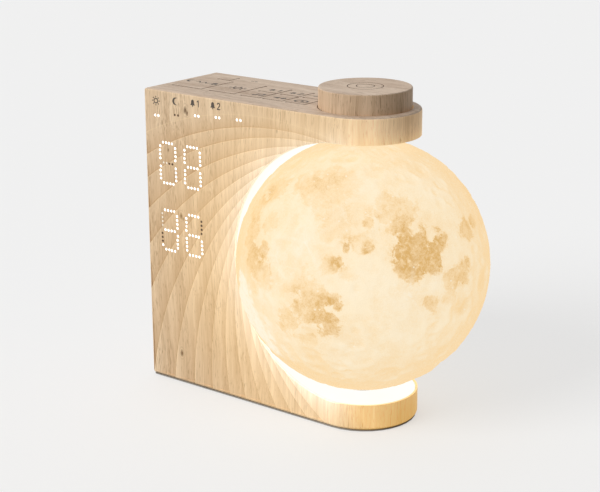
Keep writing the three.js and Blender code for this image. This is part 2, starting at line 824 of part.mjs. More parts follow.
// Moon and its stand
function moonShell() {
  return ball(moonRadius, moonAcross, moonDown, 0, 0, 0)
    .subtract(ball(moonRadius - moonWall, moonAcross / 2, moonDown / 2, 0, 0, 0))
    .subtract(rod(moonNeckRadius, 0, 0, -moonRadius - over, 0, ringSides));
}

const footTop = floor + seat + footHeight;
const shoulderBottom = baseThickness + seat;
const neckRise = moonRadius - Math.sqrt(moonRadius ** 2 - moonNeckRadius ** 2);
const shoulderTop = moonZ - moonRadius + neckRise - seat;
const spigotTop = shoulderTop + spigotReach;
const leadTunnel = () => box(
  moonShift - footRadius - over, moonShift, -leadSlot / 2, leadSlot / 2,
  floor + 2 * seat, floor + 2 * seat + leadSlot,
);

function collarScrewX() {
  const reach = (footRadius + stemRadius) / 2;
  return [moonShift - reach, moonShift + reach];
}

function moonCollar() {
  const profile = [
    [stemBore, floor + 2 * seat],
    [stemRadius, floor + 2 * seat],
    [stemRadius, shoulderBottom],
    [shoulderRadius, shoulderBottom],
    [shoulderRadius, shoulderTop],
    [moonNeckRadius - seat, shoulderTop],
    [moonNeckRadius - seat, spigotTop],
    [stemBore, spigotTop],
    [stemBore, floor + 2 * seat],
  ];
  return turned(profile, ringSides).translate([moonShift, 0, 0]).subtract(leadTunnel());
}

function collarFoot() {
  const ring = rod(footRadius, moonShift, 0, floor + seat, footTop, ringSides);
  const screws = collarScrewX().map((x) => (
    rod(screwRadius + seat, x, 0, floor, footTop - seat, smallSides)
  ));
  return cut(ring, rod(stemRadius + seat, moonShift, 0, 0, footTop + over, ringSides), leadTunnel(), ...screws);
}

function moonLedBoard() {
  const bottom = spigotTop + seat;
  const disc = rod(moonBoardRadius, moonShift, 0, bottom, bottom + boardThickness, ringSides);
  const chips = [];
  for (let i = 0; i < moonLedCount; i += 1) {
    const turn = (i / moonLedCount) * 2 * Math.PI;
    const x = moonShift + moonLedRing * Math.cos(turn);
    const y = moonLedRing * Math.sin(turn);
    const s = moonLedSide / 2;
    chips.push(box(x - s, x + s, y - s, y + s, bottom, bottom + boardThickness + moonLedHeight));
  }
  return join(disc, ...chips);
}

// Display pieces
// Light wells: one slot behind each bar of dots, or behind one pair
const wellAcross = (x, z, length) => box(
  x - length / 2, x + length / 2, -half, 0, z - lightWell / 2, z + lightWell / 2,
);
const wellUp = (x, z, length) => box(
  x - lightWell / 2, x + lightWell / 2, -half, 0, z - length / 2, z + length / 2,
);

function bars(x, z) {
  const bar = (dotsPerBar - 1) * dotPitch + lightWell;
  const middle = digitHalfHeight / 2;
  return {
    across: [-digitHalfHeight, 0, digitHalfHeight].map((rise) => [x, z + rise, bar]),
    up: [-digitHalfWidth, digitHalfWidth].flatMap((side) => [-middle, middle]
      .map((rise) => [x + side, z + rise, bar])),
  };
}

const maskFront = -inside + seat;
const maskBack = maskFront + maskThickness;
const postHole = ([x, z]) => rodY(displayPostRadius + seat, x, z, -half, 0);

function digitMask() {
  const plate = box(digitsLeft, digitsRight, maskFront, maskBack, digitsBottom, digitsTop);
  const wells = digitCentres.flatMap(([x, z]) => {
    const { across, up } = bars(x, z);
    return [...across.map((well) => wellAcross(...well)), ...up.map((well) => wellUp(...well))];
  });
  return cut(plate, postHole(displayPosts[0]), wasm.Manifold.union(wells));
}

function indicatorMask() {
  const plate = box(lampsLeft, lampsRight, maskFront, maskBack, lampsBottom, lampsTop);
  const wells = indicatorCentres.map(([x, z]) => wellAcross(x, z, indicatorDotGap + lightWell));
  return cut(plate, postHole(displayPosts[1]), ...wells);
}

function displayBoard() {
  const front = boardBack - boardThickness;
  const low = box(digitsLeft, digitsRight, front, boardBack, digitsBottom, lampsTop);
  const high = box(lampsLeft, lampsRight, front, boardBack, lampsBottom, lampsTop);
  const chips = [
    ...digitCentres.flatMap(([x, z]) => [...bars(x, z).across, ...bars(x, z).up]),
    ...indicatorCentres.map(([x, z]) => [x, z]),
  ].map(([x, z]) => box(
    x - displayLedSize / 2, x + displayLedSize / 2, front - displayLedHeight, front + seat,
    z - displayLedSize / 2, z + displayLedSize / 2,
  ));
  const holes = displayPosts.map(([x, z]) => rodY(screwRadius + seat, x, z, -half, 0, smallSides));
  return cut(join(low, high, wasm.Manifold.union(chips)), ...holes);
}

// Keys
function keyFlap(key) {
  const corners = insetPolygon(keyCorners(key), [keySlit, keySlit, seat]);
  const plate = extrudeZ(polygon(corners), ceiling, top);
  const [x, y] = keyPost(key);
  const post = rod(keyPostRadius, x, y, keyPostEnd, ceiling + rimWall, smallSides);
  const ends = slitEnds(key).map(([ex, ey]) => (
    rod(slitEndRadius + seat, ex, ey, ceiling - over, top + over, smallSides)
  ));
  return cut(join(plate, post), ...ends);
}

function keyBoard() {
  const plate = box(
    keyBoardLeft, keyBoardRight,
    -half + keyBoardFrontShare * bodyDepth, -half + keyBoardBackShare * bodyDepth,
    keyBoardBottom, keyBoardTop,
  );
  const domes = keys.flatMap((key) => {
    const [x, y] = keyPost(key);
    const s = domeSide / 2;
    return [
      box(x - s, x + s, y - s, y + s, keyBoardBottom, keyBoardTop + domeHeight),
      rod(domeButtonRadius, x, y, keyBoardTop, keyBoardTop + domeHeight + domeButtonHeight, smallSides),
    ];
  });
  const holes = keyBosses.map(([x, y]) => (
    rod(screwRadius + seat, x, y, keyBoardBottom - over, keyBoardTop + over, smallSides)
  ));
  return cut(join(plate, ...domes), ...holes);
}

// Knob and encoder, drawn about the knob axis at their real heights
const knobBottom = knobFloor + knobLift;
const knobTop = top + knobStand;
const hubBottom = knobFloor + bushingStand + knobTravel + hubClearance;
const shaftTop = hubBottom + shaftGrip;
const caseTop = bossUnder - seat;
const caseBottom = caseTop - caseHeightShare * armThickness;
const plungerBottom = caseBottom + caseFloor + slack + knobTravel;
const shaftBottom = plungerBottom + plungerHeight + seat;

function knobBody() {
  const groove = (radius) => [
    [radius + knobRingWidth / 2, knobTop],
    [radius + knobRingWidth / 2, knobTop - knobRingDepth],
    [radius - knobRingWidth / 2, knobTop - knobRingDepth],
    [radius - knobRingWidth / 2, knobTop],
  ];
  const bore = shaftRadius + seat;
  const profile = [
    [0, shaftTop + seat],
    [bore, shaftTop + seat],
    [bore, hubBottom],
    [knobHubRadius, hubBottom],
    [knobHubRadius, knobTop - knobRoof],
    [knobRadius - knobSkirt, knobTop - knobRoof],
    [knobRadius - knobSkirt, knobBottom],
    [knobRadius, knobBottom],
    [knobRadius, knobTop - knobEdge],
    [knobRadius - knobEdge, knobTop],
    ...groove(knobRingRadius + knobRingPitch),
    ...groove(knobRingRadius),
    [0, knobTop],
  ];
  return turned(profile, discSides);
}

function encoderShaft() {
  const rest = rod(shaftRadius, 0, 0, shaftBottom, shaftTop, ringSides);
  const flat = box(
    shaftRadius - flatDepth, shaftRadius + over, -shaftRadius, shaftRadius,
    shaftTop - shaftGrip, shaftTop + over,
  );
  return rest.subtract(flat);
}

function encoderCase() {
  const s = caseSide / 2;
  const can = box(-s, s, -s, s, caseBottom, caseTop);
  const bushing = rod(
    shaftRadius + slack + bushingWall, 0, 0, caseTop - seat, knobFloor + bushingStand, ringSides,
  );
  const hollow = rod(plungerRadius + seat, 0, 0, caseBottom + caseFloor, caseTop - caseFloor, ringSides);
  const bore = rod(shaftRadius + slack, 0, 0, caseTop - 2 * caseFloor, knobFloor + bushingStand + over, ringSides);
  return cut(join(can, bushing), hollow, bore);
}

function encoderNut() {
  const hole = shaftRadius + slack + bushingWall + seat;
  return rod(nutAcross / 2, 0, 0, knobFloor + seat, knobFloor + seat + nutHeight, 6)
    .subtract(rod(hole, 0, 0, knobFloor, knobFloor + nutHeight + over, ringSides));
}

function encoderBoard() {
  const boardTop = caseBottom - seat;
  return box(
    -encoderBoardWidth / 2, encoderBoardWidth / 2, -encoderBoardDepth / 2, encoderBoardDepth / 2,
    boardTop - boardThickness, boardTop,
  );
}

// Speaker, drawn about its own axis with y = 0 on the rear cover's inner face
function speakerFrame() {
  const lip = speakerRadius - speakerRimWidth;
  const back = -seat - speakerDepth;
  const profile = [
    [speakerThroat, back],
    [speakerSeatRadius, back],
    [lip + speakerSheet, -seat - speakerFlange],
    [speakerRadius, -seat - speakerFlange],
    [speakerRadius, -seat],
    [lip, -seat],
    [lip, -seat - speakerFlange],
    [speakerSeatRadius - speakerSheet, back + speakerSheet],
    [speakerThroat, back + speakerSheet],
    [speakerThroat, back],
  ];
  return turnedY(profile, ringSides);
}

function speakerMagnet() {
  const front = -seat - speakerDepth - seat;
  return rodY(magnetRadius, 0, 0, front - magnetHeight, front, ringSides);
}

function speakerCone() {
  const rim = speakerRadius - speakerRimWidth - seat;
  const front = -seat - coneDrop;
  const profile = [
    [0, front - coneDepth - coneSheet],
    [coneThroat, front - coneDepth - coneSheet],
    [rim, front - coneSheet],
    [rim, front],
    [coneThroat, front - coneDepth],
    [0, front - coneDepth],
  ];
  return turnedY(profile, ringSides);
}

// Main board and its parts
function mainBoard() {
  const plate = box(
    mainBoardX, mainBoardX + mainBoardWidth, mainBoardY - boardThickness, mainBoardY,
    mainBoardBottom, mainBoardTop,
  );
  return cut(plate, ...mainPosts.map(([x, z]) => (
    rodY(screwRadius + seat, x, z, 0, half, smallSides)
  )));
}

function powerInlet() {
  const [x, z] = [inletX, inletBottom + inletHeight / 2];
  const shell = box(
    x - inletWidth / 2, x + inletWidth / 2, mainBoardY + seat, half - seat,
    z - inletHeight / 2, z + inletHeight / 2,
  );
  const mouth = box(
    x - inletWidth / 2 + inletShell, x + inletWidth / 2 - inletShell, mainBoardY + seat + inletBack, half,
    z - inletHeight / 2 + inletShell, z + inletHeight / 2 - inletShell,
  );
  const tongue = box(
    x - inletWidth / 3, x + inletWidth / 3, mainBoardY + seat, half - seat - inletShell,
    z - inletShell, z + inletShell,
  );
  return join(shell.subtract(mouth), tongue);
}

// Coin cell and holder, drawn about their own axis with y = 0 on the board's front face
function cellHolder() {
  const rim = cellRadius + seat + holderWall;
  const floorFace = -seat - holderFloor;
  const lip = floorFace - seat - cellThickness;
  const profile = [
    [0, floorFace],
    [cellRadius + seat, floorFace],
    [cellRadius + seat, lip],
    [rim, lip],
    [rim, -seat],
    [0, -seat],
  ];
  return turnedY(profile, ringSides);
}

function coinCell() {
  const back = -2 * seat - holderFloor;
  return rodY(cellRadius, 0, 0, back - cellThickness, back, ringSides);
}

// Screw with its head's top at the origin and its shank along -Z
function screw(length) {
  const profile = [
    [0, -screwHeadHeight - length],
    [screwRadius, -screwHeadHeight - length],
    [screwRadius, -screwHeadHeight],
    [screwHeadRadius, -screwHeadHeight],
    [screwHeadRadius, 0],
    [0, 0],
  ];
  return turned(profile, smallSides);
}

// Flat ribbon along a path of two coordinates, given as the points of one face
function ribbonShape(points, side) {
  const edge = points.map(([u, v], i) => {
    const before = points[Math.max(i - 1, 0)];
    const after = points[Math.min(i + 1, points.length - 1)];
    const into = new THREE.Vector2(u - before[0], v - before[1]);
    const out = new THREE.Vector2(after[0] - u, after[1] - v);
    if (i === 0) into.copy(out);
    if (i === points.length - 1) out.copy(into);
    into.normalize();
    out.normalize();
    const normal = new THREE.Vector2(-into.y - out.y, into.x + out.x).normalize();
    const spread = normal.dot(new THREE.Vector2(-into.y, into.x));
    const stretch = ribbonThickness / Math.max(mitreShare, spread);
    return [u + side * normal.x * stretch, v + side * normal.y * stretch];
  });
  return polygon([...points, ...edge.reverse()]);
}

// From the display board's back to the main board's front
function displayRibbon() {
  const start = boardBack + seat;
  const end = mainBoardY - boardThickness - seat - ribbonThickness;
  const bend = ribbonWidth;
  const x = mainBoardX + mainBoardWidth - 2 * ribbonWidth;
  const path = [
    [start, digitsBottom + bend],
    [start, digitsBottom - bend],
    [end, mainBoardTop - bend],
    [end, mainBoardTop - 3 * bend],
  ];
  const geometry = new THREE.ExtrudeGeometry(ribbonShape(path, 1), { depth: ribbonWidth, bevelEnabled: false });
  geometry.rotateY(Math.PI / 2);
  geometry.rotateX(Math.PI / 2);
  return solidOf(geometry).translate([x, 0, 0]);
}

// From the key board's underside, down beside the left wall, to the main board's front
function keyRibbon() {
  const underBoard = keyBoardBottom - seat;
  const end = mainBoardY - boardThickness - seat;
  const down = end - ribbonWidth;
  const path = [
    [down - 2 * ribbonWidth, underBoard],
    [down, underBoard],
    [down, mainBoardTop + ribbonWidth],
    [end, mainBoardTop - ribbonWidth],
    [end, mainBoardTop - 2 * ribbonWidth],
  ];
  const geometry = new THREE.ExtrudeGeometry(ribbonShape(path, -1), { depth: ribbonWidth, bevelEnabled: false });
  geometry.rotateY(Math.PI / 2);
  geometry.rotateX(Math.PI / 2);
  const x = mainPosts[0][0] + screwHeadRadius + seat;
  return solidOf(geometry).translate([x, 0, 0]);
}

// From the encoder board to the key board's underside
function encoderRibbon() {
  const boardTop = caseBottom - seat;
  const middle = boardTop - boardThickness / 2;
  const underBoard = keyBoardBottom - seat;
  const path = [
    [-encoderBoardWidth / 2 - seat, middle],
    [-encoderBoardWidth / 2 - ribbonWidth / 2, middle],
    [keyBoardRight + ribbonThickness, underBoard],
    [keyBoardRight - ribbonWidth, underBoard],
  ];
  return extrudeY(ribbonShape(path, 1), -ribbonWidth / 2, ribbonWidth / 2);
}

function lead(points, radius) {
  const curve = new THREE.CatmullRomCurve3(points.map((p) => new THREE.Vector3(...p)), false, 'centripetal');
  const section = new THREE.Shape();
  for (let i = 0; i < leadSides; i += 1) {
    const turn = (i / leadSides) * 2 * Math.PI;
    const [u, v] = [radius * Math.cos(turn), radius * Math.sin(turn)];
    if (i === 0) section.moveTo(u, v);
    else section.lineTo(u, v);
  }
  section.closePath();
  return solidOf(new THREE.ExtrudeGeometry(section, {
    steps: leadSteps, extrudePath: curve, bevelEnabled: false,
  }));
}

// From the foot of the moon's stand, along the lower arm, up to the main board's front
function moonLead() {
  const low = floor + 2 * seat + leadSlot / 2;
  const boardFront = mainBoardY - boardThickness;
  const y = boardFront - seat - leadRadius;
  const rise = mainBoardX + mainBoardWidth - footRadius;
  const run = moonShift - footRadius - seat;
  return lead([
    [run, 0, low],
    [run + (rise - run) / 4, y / 6, low],
    [run + (rise - run) / 2, y / 3, low],
    [rise + footRadius, y - leadSlot, low],
    [rise, y, mainBoardBottom - leadRadius],
    [rise - leadSlot, y, mainBoardBottom + footHeight],
  ], leadRadius);
}

// From the speaker's flange to the main board's front
function speakerLead() {
  const x = speakerX + speakerRimWidth;
  const y = mainBoardY - boardThickness - seat - speakerLeadRadius;
  const flangeY = inside - speakerFlange - 2 * seat - speakerLeadRadius;
  const from = speakerHeight - speakerRadius + speakerLeadRadius + seat;
  return lead([
    [x, flangeY, from],
    [x, (flangeY + y) / 2, (from + mainBoardTop) / 2],
    [x, y, mainBoardTop],
    [x, y, mainBoardTop - footHeight],
  ], speakerLeadRadius);
}

// Assembly
const clock = new THREE.Group();

function place(name, solid, material, position = [0, 0, 0], rotation = [0, 0, 0], parent = clock) {
  const mesh = new THREE.Mesh(geometryOf(solid), material);
  mesh.name = name;
  mesh.position.set(...position);
  mesh.rotation.set(...rotation);
  parent.add(mesh);
}

place('housing', housing(), oak);
place('rear_cover', rearCover(), oak);
place('base_pad', plan(padInset, 0, padThickness), darkRubber);
place('ring_diffuser', ringDiffuser(), diffuserWhite);
place('light_frame', lightFrame(), whitePlastic);
place('ring_led_strip', ledStrip(), whitePlastic);
place('moon_shell', moonShell(), moonGlow, [moonShift, 0, moonZ]);
place('moon_collar', moonCollar(), whitePlastic);
place('collar_foot', collarFoot(), blackPlastic);
place('moon_led_board', moonLedBoard(), whitePlastic);
place('digit_mask', digitMask(), blackPlastic);
place('indicator_mask', indicatorMask(), blackPlastic);
place('display_board', displayBoard(), boardGreen);
place('key_board', keyBoard(), boardGreen);
place('main_board', mainBoard(), boardGreen);
place('power_inlet', powerInlet(), steel);

const speaker = new THREE.Group();
speaker.position.set(speakerX, inside, speakerHeight);
place('speaker_frame', speakerFrame(), blackPlastic, undefined, undefined, speaker);
place('speaker_magnet', speakerMagnet(), magnetSteel, undefined, undefined, speaker);
place('speaker_cone', speakerCone(), conePaper, undefined, undefined, speaker);
clock.add(speaker);

const backupCell = new THREE.Group();
backupCell.position.set(
  leftEnd + cellPlaceShare * panelWidth, mainBoardY - boardThickness, mainBoardBottom + cellRise,
);
place('cell_holder', cellHolder(), blackPlastic, undefined, undefined, backupCell);
place('coin_cell', coinCell(), steel, undefined, undefined, backupCell);
clock.add(backupCell);

place('knob', knobBody(), oakTop);
place('encoder_shaft', encoderShaft(), steel);
place('encoder_plunger', rod(plungerRadius, 0, 0, plungerBottom, plungerBottom + plungerHeight), blackPlastic);
place('encoder_case', encoderCase(), steel);
place('encoder_nut', encoderNut(), brassGold);
place('encoder_board', encoderBoard(), boardGreen);

const keyNames = [
  'key_front_left', 'key_rear_left', 'key_front_middle', 'key_rear_middle',
  'key_front_right', 'key_rear_right', 'key_mid', 'key_wide', 'key_corner',
];
keys.forEach((key, i) => place(keyNames[i], keyFlap(key), oakTop));

const towardsBack = [-Math.PI / 2, 0, 0];
coverScrews.forEach(([x, z], i) => {
  place(`cover_screw_${i + 1}`, screw(coverScrewLength), steel, [x, half - seat, z], towardsBack);
});
mainPosts.forEach(([x, z], i) => {
  const head = mainBoardY - boardThickness - seat - screwHeadHeight;
  place(`board_screw_${i + 1}`, screw(boardScrewLength), steel, [x, head, z], [Math.PI / 2, 0, 0]);
});
displayPosts.forEach(([x, z], i) => {
  const head = boardBack + seat + screwHeadHeight;
  place(`display_screw_${i + 1}`, screw(maskThickness), steel, [x, head, z], towardsBack);
});
keyBosses.forEach(([x, y], i) => {
  const head = keyBoardBottom - seat - screwHeadHeight;
  place(`key_board_screw_${i + 1}`, screw(keyScrewLength), steel, [x, y, head], [Math.PI, 0, 0]);
});
collarScrewX().forEach((x, i) => {
  place(`collar_screw_${i + 1}`, screw(collarScrewLength), steel, [x, 0, underside], [Math.PI, 0, 0]);
});

place('display_ribbon', displayRibbon(), ribbonWhite);
place('key_ribbon', keyRibbon(), ribbonWhite);
place('encoder_ribbon', encoderRibbon(), ribbonWhite);
place('moon_lead', moonLead(), blackPlastic);
place('speaker_lead', speakerLead(), blackPlastic);

export default clock;
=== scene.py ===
import math

import bmesh
import bpy
import numpy as np
from mathutils import Matrix, Vector, noise


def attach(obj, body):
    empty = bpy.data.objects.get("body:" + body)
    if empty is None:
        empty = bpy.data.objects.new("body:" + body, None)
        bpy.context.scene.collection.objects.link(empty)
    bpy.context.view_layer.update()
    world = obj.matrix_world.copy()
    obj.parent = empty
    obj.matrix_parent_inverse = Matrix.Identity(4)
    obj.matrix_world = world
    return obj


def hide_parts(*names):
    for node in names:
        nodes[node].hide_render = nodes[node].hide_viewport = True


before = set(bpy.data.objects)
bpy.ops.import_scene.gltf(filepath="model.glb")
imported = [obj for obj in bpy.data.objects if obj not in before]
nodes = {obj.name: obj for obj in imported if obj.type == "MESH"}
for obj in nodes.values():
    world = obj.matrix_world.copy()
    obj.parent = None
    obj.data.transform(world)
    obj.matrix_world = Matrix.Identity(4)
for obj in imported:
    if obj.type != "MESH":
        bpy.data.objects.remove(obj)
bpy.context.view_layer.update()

# Sizes of the clock in millimetres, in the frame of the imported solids
MM = 0.001
IN_MM = (1000, 1000, 1000)
HALF = 31.35              # half the body's depth
LEFT = -138.7
PANEL_WIDTH = 69.5        # from the left end to the opening
UNDERSIDE = 1.0
TOP = 180.0
WALL = 2.4
RIM_WALL = 1.2
FLOOR = UNDERSIDE + WALL
CEILING = TOP - WALL
INSIDE = HALF - WALL
EDGE_ROUND = 1.6
CORNER_ROUND = 2.2
SHOULDER_ROUND = 4.0
SEAT = 0.3                # gap between pieces that rest on each other
NEAR = 0.05               # slack where a face is found by its place
OVER = 1.0                # how far a cut runs past a face
BEYOND = 200.0            # well outside the clock

OPENING = (5.3, 90.4)     # axis of the opening, in X and Z
OPENING_RADIUS = 74.5
OPENING_EASE = 0.6        # bevel on the opening's edges
DIFFUSER_WALL = 2.0
MOON_CENTRE = Vector((-1.1, 0.0, 90.0))
MOON_RADIUS = 72.25
MOON_RELIEF = 0.46        # highest relief, left free under the moon's radius
MOON_INSIDE = 69.8
MOON_CLEARANCE = 1.5
MOON_NECK = 8.8
CRATERS = 1500
SMALLEST_CRATER = 1.5     # radius in degrees
LARGEST_CRATER = 7.5
COLLAR_HOLES = [(7.8, 0.0), (10.6, 15.9)]   # radius and underside of each step round the moon's stand

KNOB_RADIUS = 26.0
COUNTERBORE = 26.6
KNOB_FLOOR = TOP - 2.0
KNOB_TOP = TOP + 11.4
KNOB_RINGS = (9.9, 5.0)   # rings grooved in the top, painted dark as shade in the grooves
ENCODER_HOLE = 4.15

BLADES = 17
BLADE_RADIUS = 204.0
BLADE_RING = 133.0        # centres of the blades' discs, from the opening's axis
FIRST_BLADE = 245.7       # degrees
CLOSE_BLADES = 2          # steps between the first blades, which stand closer together
CLOSE_TURN = 6.9
BLADE_TURN = 9.1
TURN_GROWTH = 0.1
BLADE_SLOPE = 0.035
BLADE_DEPTH = 0.8
RIM_EASE = 0.12           # bevel on a blade's rim
BLADE_MARGIN = 1.8        # uncarved border
BLADE_LAND = 0.6          # flat edge of the first blade
WIDE_GLOW = 30.0          # reach of the ring's light on the front
CLOSE_GLOW = 11.0

DOT_RADIUS = 0.6
DOT_PITCH = 2.45
LENS_RADIUS = 0.82        # lens on a lit dot, let into the wood
UNLIT_RADIUS = 0.72
LENS_DEPTH = 0.25
LENS_PLAY = 0.03
DIGIT_HALF_WIDTH = 6.05
DIGIT_CENTRES = [(-120.602, 136.3), (-101.205, 136.3), (-120.602, 95.1), (-101.205, 95.1)]

HALF_PAIR = 1.3           # from an indicator's middle to each of its two dots
FIRST_INDICATOR = 0.1496  # shares of the panel's width
INDICATOR_STEP = 0.2273
ARCH_MIDDLE = 1.1712
ARCH_TOP = TOP - 10.7
ARCH_RADIUS = 498.0

SLIT = 0.5
SLIT_END = 0.8
HINGE_GAP = 0.02          # along the line that a key bends about
GROOVE = 0.15             # burnt bevel along each slit
SPEAKER = (-106.0, 112.0)
GRILLE_PITCH = 5.4
GRILLE_HOLE = 1.5
INLET = (-106.0, 27.7)
COVER_END = -6.0
COVER_SCREWS = [
    (-132.5, 150.0), (-132.5, 7.2), (-75.0, 173.8), (-13.0, 173.8), (-70.0, 7.2), (-13.0, 7.2),
]
COLLAR_SCREWS = (-11.35, 9.15)
SCREW_SINK = 2.5          # radius of a screw's seat
PAD_SINK = 1.3            # depth of the seats under the body
COVER_SINK = 1.6
EDGE_LAND = 3.0           # the slits keep this far from the body's sides
FLAT = 0.93               # a face lies flat if its normal rises more than this
MOON_FIELDS = ("mare", "shore", "ray", "relief")


# Outlines

def arc(u, v, radius, start, end, steps):
    turns = [math.radians(start + (end - start) * i / steps) for i in range(steps + 1)]
    return [(u + radius * math.cos(t), v + radius * math.sin(t)) for t in turns]


def body_plan(inset, steps=64, corner_steps=6):
    """Plan of the body, moved in: a rectangle with one half-round end."""
    x = LEFT + inset
    y = HALF - inset
    r = max(CORNER_ROUND - inset, 0.05)
    return (
        arc(0, 0, y, -90, 90, steps)
        + arc(x + r, y - r, r, 90, 180, corner_steps)
        + arc(x + r, -y + r, r, 180, 270, corner_steps)
    )


def opening_outline(radius, steps=180):
    x, z = OPENING
    return [(BEYOND, z - radius), (BEYOND, z + radius)] + arc(x, z, radius, 90, 270, steps)


def circle(u, v, radius, sides):
    turns = [2 * math.pi * i / sides for i in range(sides)]
    return [(u + radius * math.cos(t), v + radius * math.sin(t)) for t in turns]


def lying_slot(half_length, radius):
    """Long round-ended outline of the inlet, in X and Z."""
    x, z = INLET
    return arc(x + half_length, z, radius, -90, 90, 12) + arc(x - half_length, z, radius, 90, 270, 12)


# Solids, drawn in millimetres

def skin(rows):
    """Faces between neighbouring rows of point numbers. They are triangles where a row repeats one point."""
    faces = []
    for low, high in zip(rows, rows[1:]):
        for i in range(len(low)):
            j = (i + 1) % len(low)
            face = tuple(dict.fromkeys((low[i], low[j], high[j], high[i])))
            if len(face) > 2:
                faces.append(face)
    return faces


def loft(rings):
    """Closed skin through rings of equally many points."""
    count = len(rings[0])
    rows = [range(start, start + count) for start in range(0, len(rings) * count, count)]
    return [p for ring in rings for p in ring], [tuple(reversed(rows[0])), *skin(rows), tuple(rows[-1])]


def upright(outline, low, high):
    return loft([[(u, v, z) for u, v in outline] for z in (low, high)])


def through(outline, front, back):
    """An outline in X and Z, carried along Y."""
    return loft([[(u, y, v) for u, v in outline] for y in (back, front)])


def block(x0, x1, y0, y1, z0, z1):
    return upright([(x0, y0), (x1, y0), (x1, y1), (x0, y1)], z0, z1)


def turned(profile, sides, centre=(0.0, 0.0), axis="Z"):
    """A closed profile of (radius, height) points turned about an axis."""
    points, rows = [], []
    for radius, height in profile:
        if radius < 1e-6:
            rows.append([len(points)] * sides)
            points.append((0.0, 0.0, height))
            continue
        rows.append(range(len(points), len(points) + sides))
        points += [(u, v, height) for u, v in circle(0, 0, radius, sides)]
    u, v = centre
    if axis == "Y":
        points = [(x + u, h, z + v) for x, z, h in points]
    else:
        points = [(x + u, y + v, h) for x, y, h in points]
    return points, skin(rows + rows[:1])


def ball(radius, centre, across, down):
    turns = [math.pi * i / down for i in range(down + 1)]
    profile = [(radius * math.sin(t), centre[2] - radius * math.cos(t)) for t in turns]
    return turned(profile, across, centre[:2])


def together(shapes):
    """Shapes that don't touch, as one."""
    points, faces = [], []
    for some_points, some_faces in shapes:
        start = len(points)
        points += some_points
        faces += [tuple(start + i for i in face) for face in some_faces]
    return points, faces


def placed(name, data):
    """A new object in the scene."""
    made = bpy.data.objects.new(name, data)
    bpy.context.scene.collection.objects.link(made)
    return made


def workpiece(name, shape):
    mesh = bpy.data.meshes.new(name)
    mesh.from_pydata(shape[0], [], shape[1])
    tidy = bmesh.new()
    tidy.from_mesh(mesh)
    bmesh.ops.recalc_face_normals(tidy, faces=tidy.faces)
    tidy.to_mesh(mesh)
    tidy.free()
    return placed(name, mesh)


def shaped(piece, how, *shapes):
    """The piece after it is cut, joined or overlapped with each shape in turn."""
    for shape in shapes:
        tool = shape if isinstance(shape, bpy.types.Object) else workpiece("tool", shape)
        change = piece.modifiers.new("change", "BOOLEAN")
        change.object = tool
        change.operation = how
        change.solver = "MANIFOLD"
        evaluated = piece.evaluated_get(bpy.context.evaluated_depsgraph_get())
        made = bpy.data.meshes.new_from_object(evaluated)
        piece.modifiers.clear()
        old, name = piece.data, piece.data.name
        piece.data = made
        bpy.data.meshes.remove(old)
        made.name = name
        bpy.data.objects.remove(tool)
    return piece


def cut(piece, *shapes):
    return shaped(piece, "DIFFERENCE", *shapes)


def join(piece, *shapes):
    return shaped(piece, "UNION", *shapes)


def overlap(piece, *shapes):
    return shaped(piece, "INTERSECT", *shapes)


def finished(piece, finishes, choose=None, body="root", slot=None, stands_for=(), angle=32):
    """Scales the workpiece to metres, gives each face the finish chosen for it and sets it in the frame."""
    mesh = piece.data
    mesh.transform(Matrix.Scale(MM, 4))
    mesh.materials.clear()
    for finish in finishes:
        mesh.materials.append(finish)
    order = {finish: number for number, finish in enumerate(finishes)}
    for face in mesh.polygons:
        face.material_index = order[choose(face.center / MM, face.normal)] if choose else 0
    mesh.shade_smooth()
    mesh.set_sharp_from_angle(angle=math.radians(angle))
    even = piece.modifiers.new("even_normals", "WEIGHTED_NORMAL")
    even.keep_sharp = True
    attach(piece, body)
    if stands_for:
        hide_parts(*stands_for)


# Shader building

class Level:
    """A shader's value over the surface, which takes part in sums as a number does."""

    def __init__(self, socket):
        self.socket = socket
        self.tree = socket.id_data

    def worked(self, how, *others, clamp=False):
        return level(self.tree, "ShaderNodeMath", dict(enumerate((self, *others))), operation=how, use_clamp=clamp)

    def __add__(self, other):
        return self.worked("ADD", other)

    def __sub__(self, other):
        return self.worked("SUBTRACT", other)

    def __rsub__(self, other):
        return level(self.tree, "ShaderNodeMath", {0: other, 1: self}, operation="SUBTRACT")

    def __mul__(self, other):
        return self.worked("MULTIPLY", other)

    def __truediv__(self, other):
        return self.worked("DIVIDE", other)


def feed(socket, value):
    if isinstance(value, Level):
        value.tree.links.new(value.socket, socket)
    else:
        socket.default_value = value


def put(tree, kind, inputs=None, **settings):
    made = tree.nodes.new(kind)
    for name, value in settings.items():
        setattr(made, name, value)
    for key, value in (inputs or {}).items():
        feed(made.inputs[key], value)
    return made


def level(tree, kind, inputs=None, output=0, **settings):
    return Level(put(tree, kind, inputs, **settings).outputs[output])


def eased(value, low, high, to_low=0.0, to_high=1.0, way="SMOOTHSTEP"):
    ends = {"Value": value, "From Min": low, "From Max": high, "To Min": to_low, "To Max": to_high}
    return level(value.tree, "ShaderNodeMapRange", ends, interpolation_type=way)


def ranged(value, low, high, to_low=0.0, to_high=1.0):
    return eased(value, low, high, to_low, to_high, "LINEAR")


def mixed(share, first, second, how="MIX"):
    tree = next(value.tree for value in (share, first, second) if isinstance(value, Level))
    return level(tree, "ShaderNodeMix", {0: share, 6: first, 7: second}, 2, data_type="RGBA", blend_type=how)


def moved(how, place, other, key=1):
    return level(place.tree, "ShaderNodeVectorMath", {0: place, key: other}, operation=how)


def scaled(place, scale):
    return moved("MULTIPLY", place, scale)


def axes(place):
    return [Level(socket) for socket in put(place.tree, "ShaderNodeSeparateXYZ", {0: place}).outputs]


def speckle(place, scale=1.0, detail=2.0, roughness=0.5, distortion=0.0):
    return level(place.tree, "ShaderNodeTexNoise", {
        "Vector": place, "Scale": scale, "Detail": detail, "Roughness": roughness, "Distortion": distortion,
    })


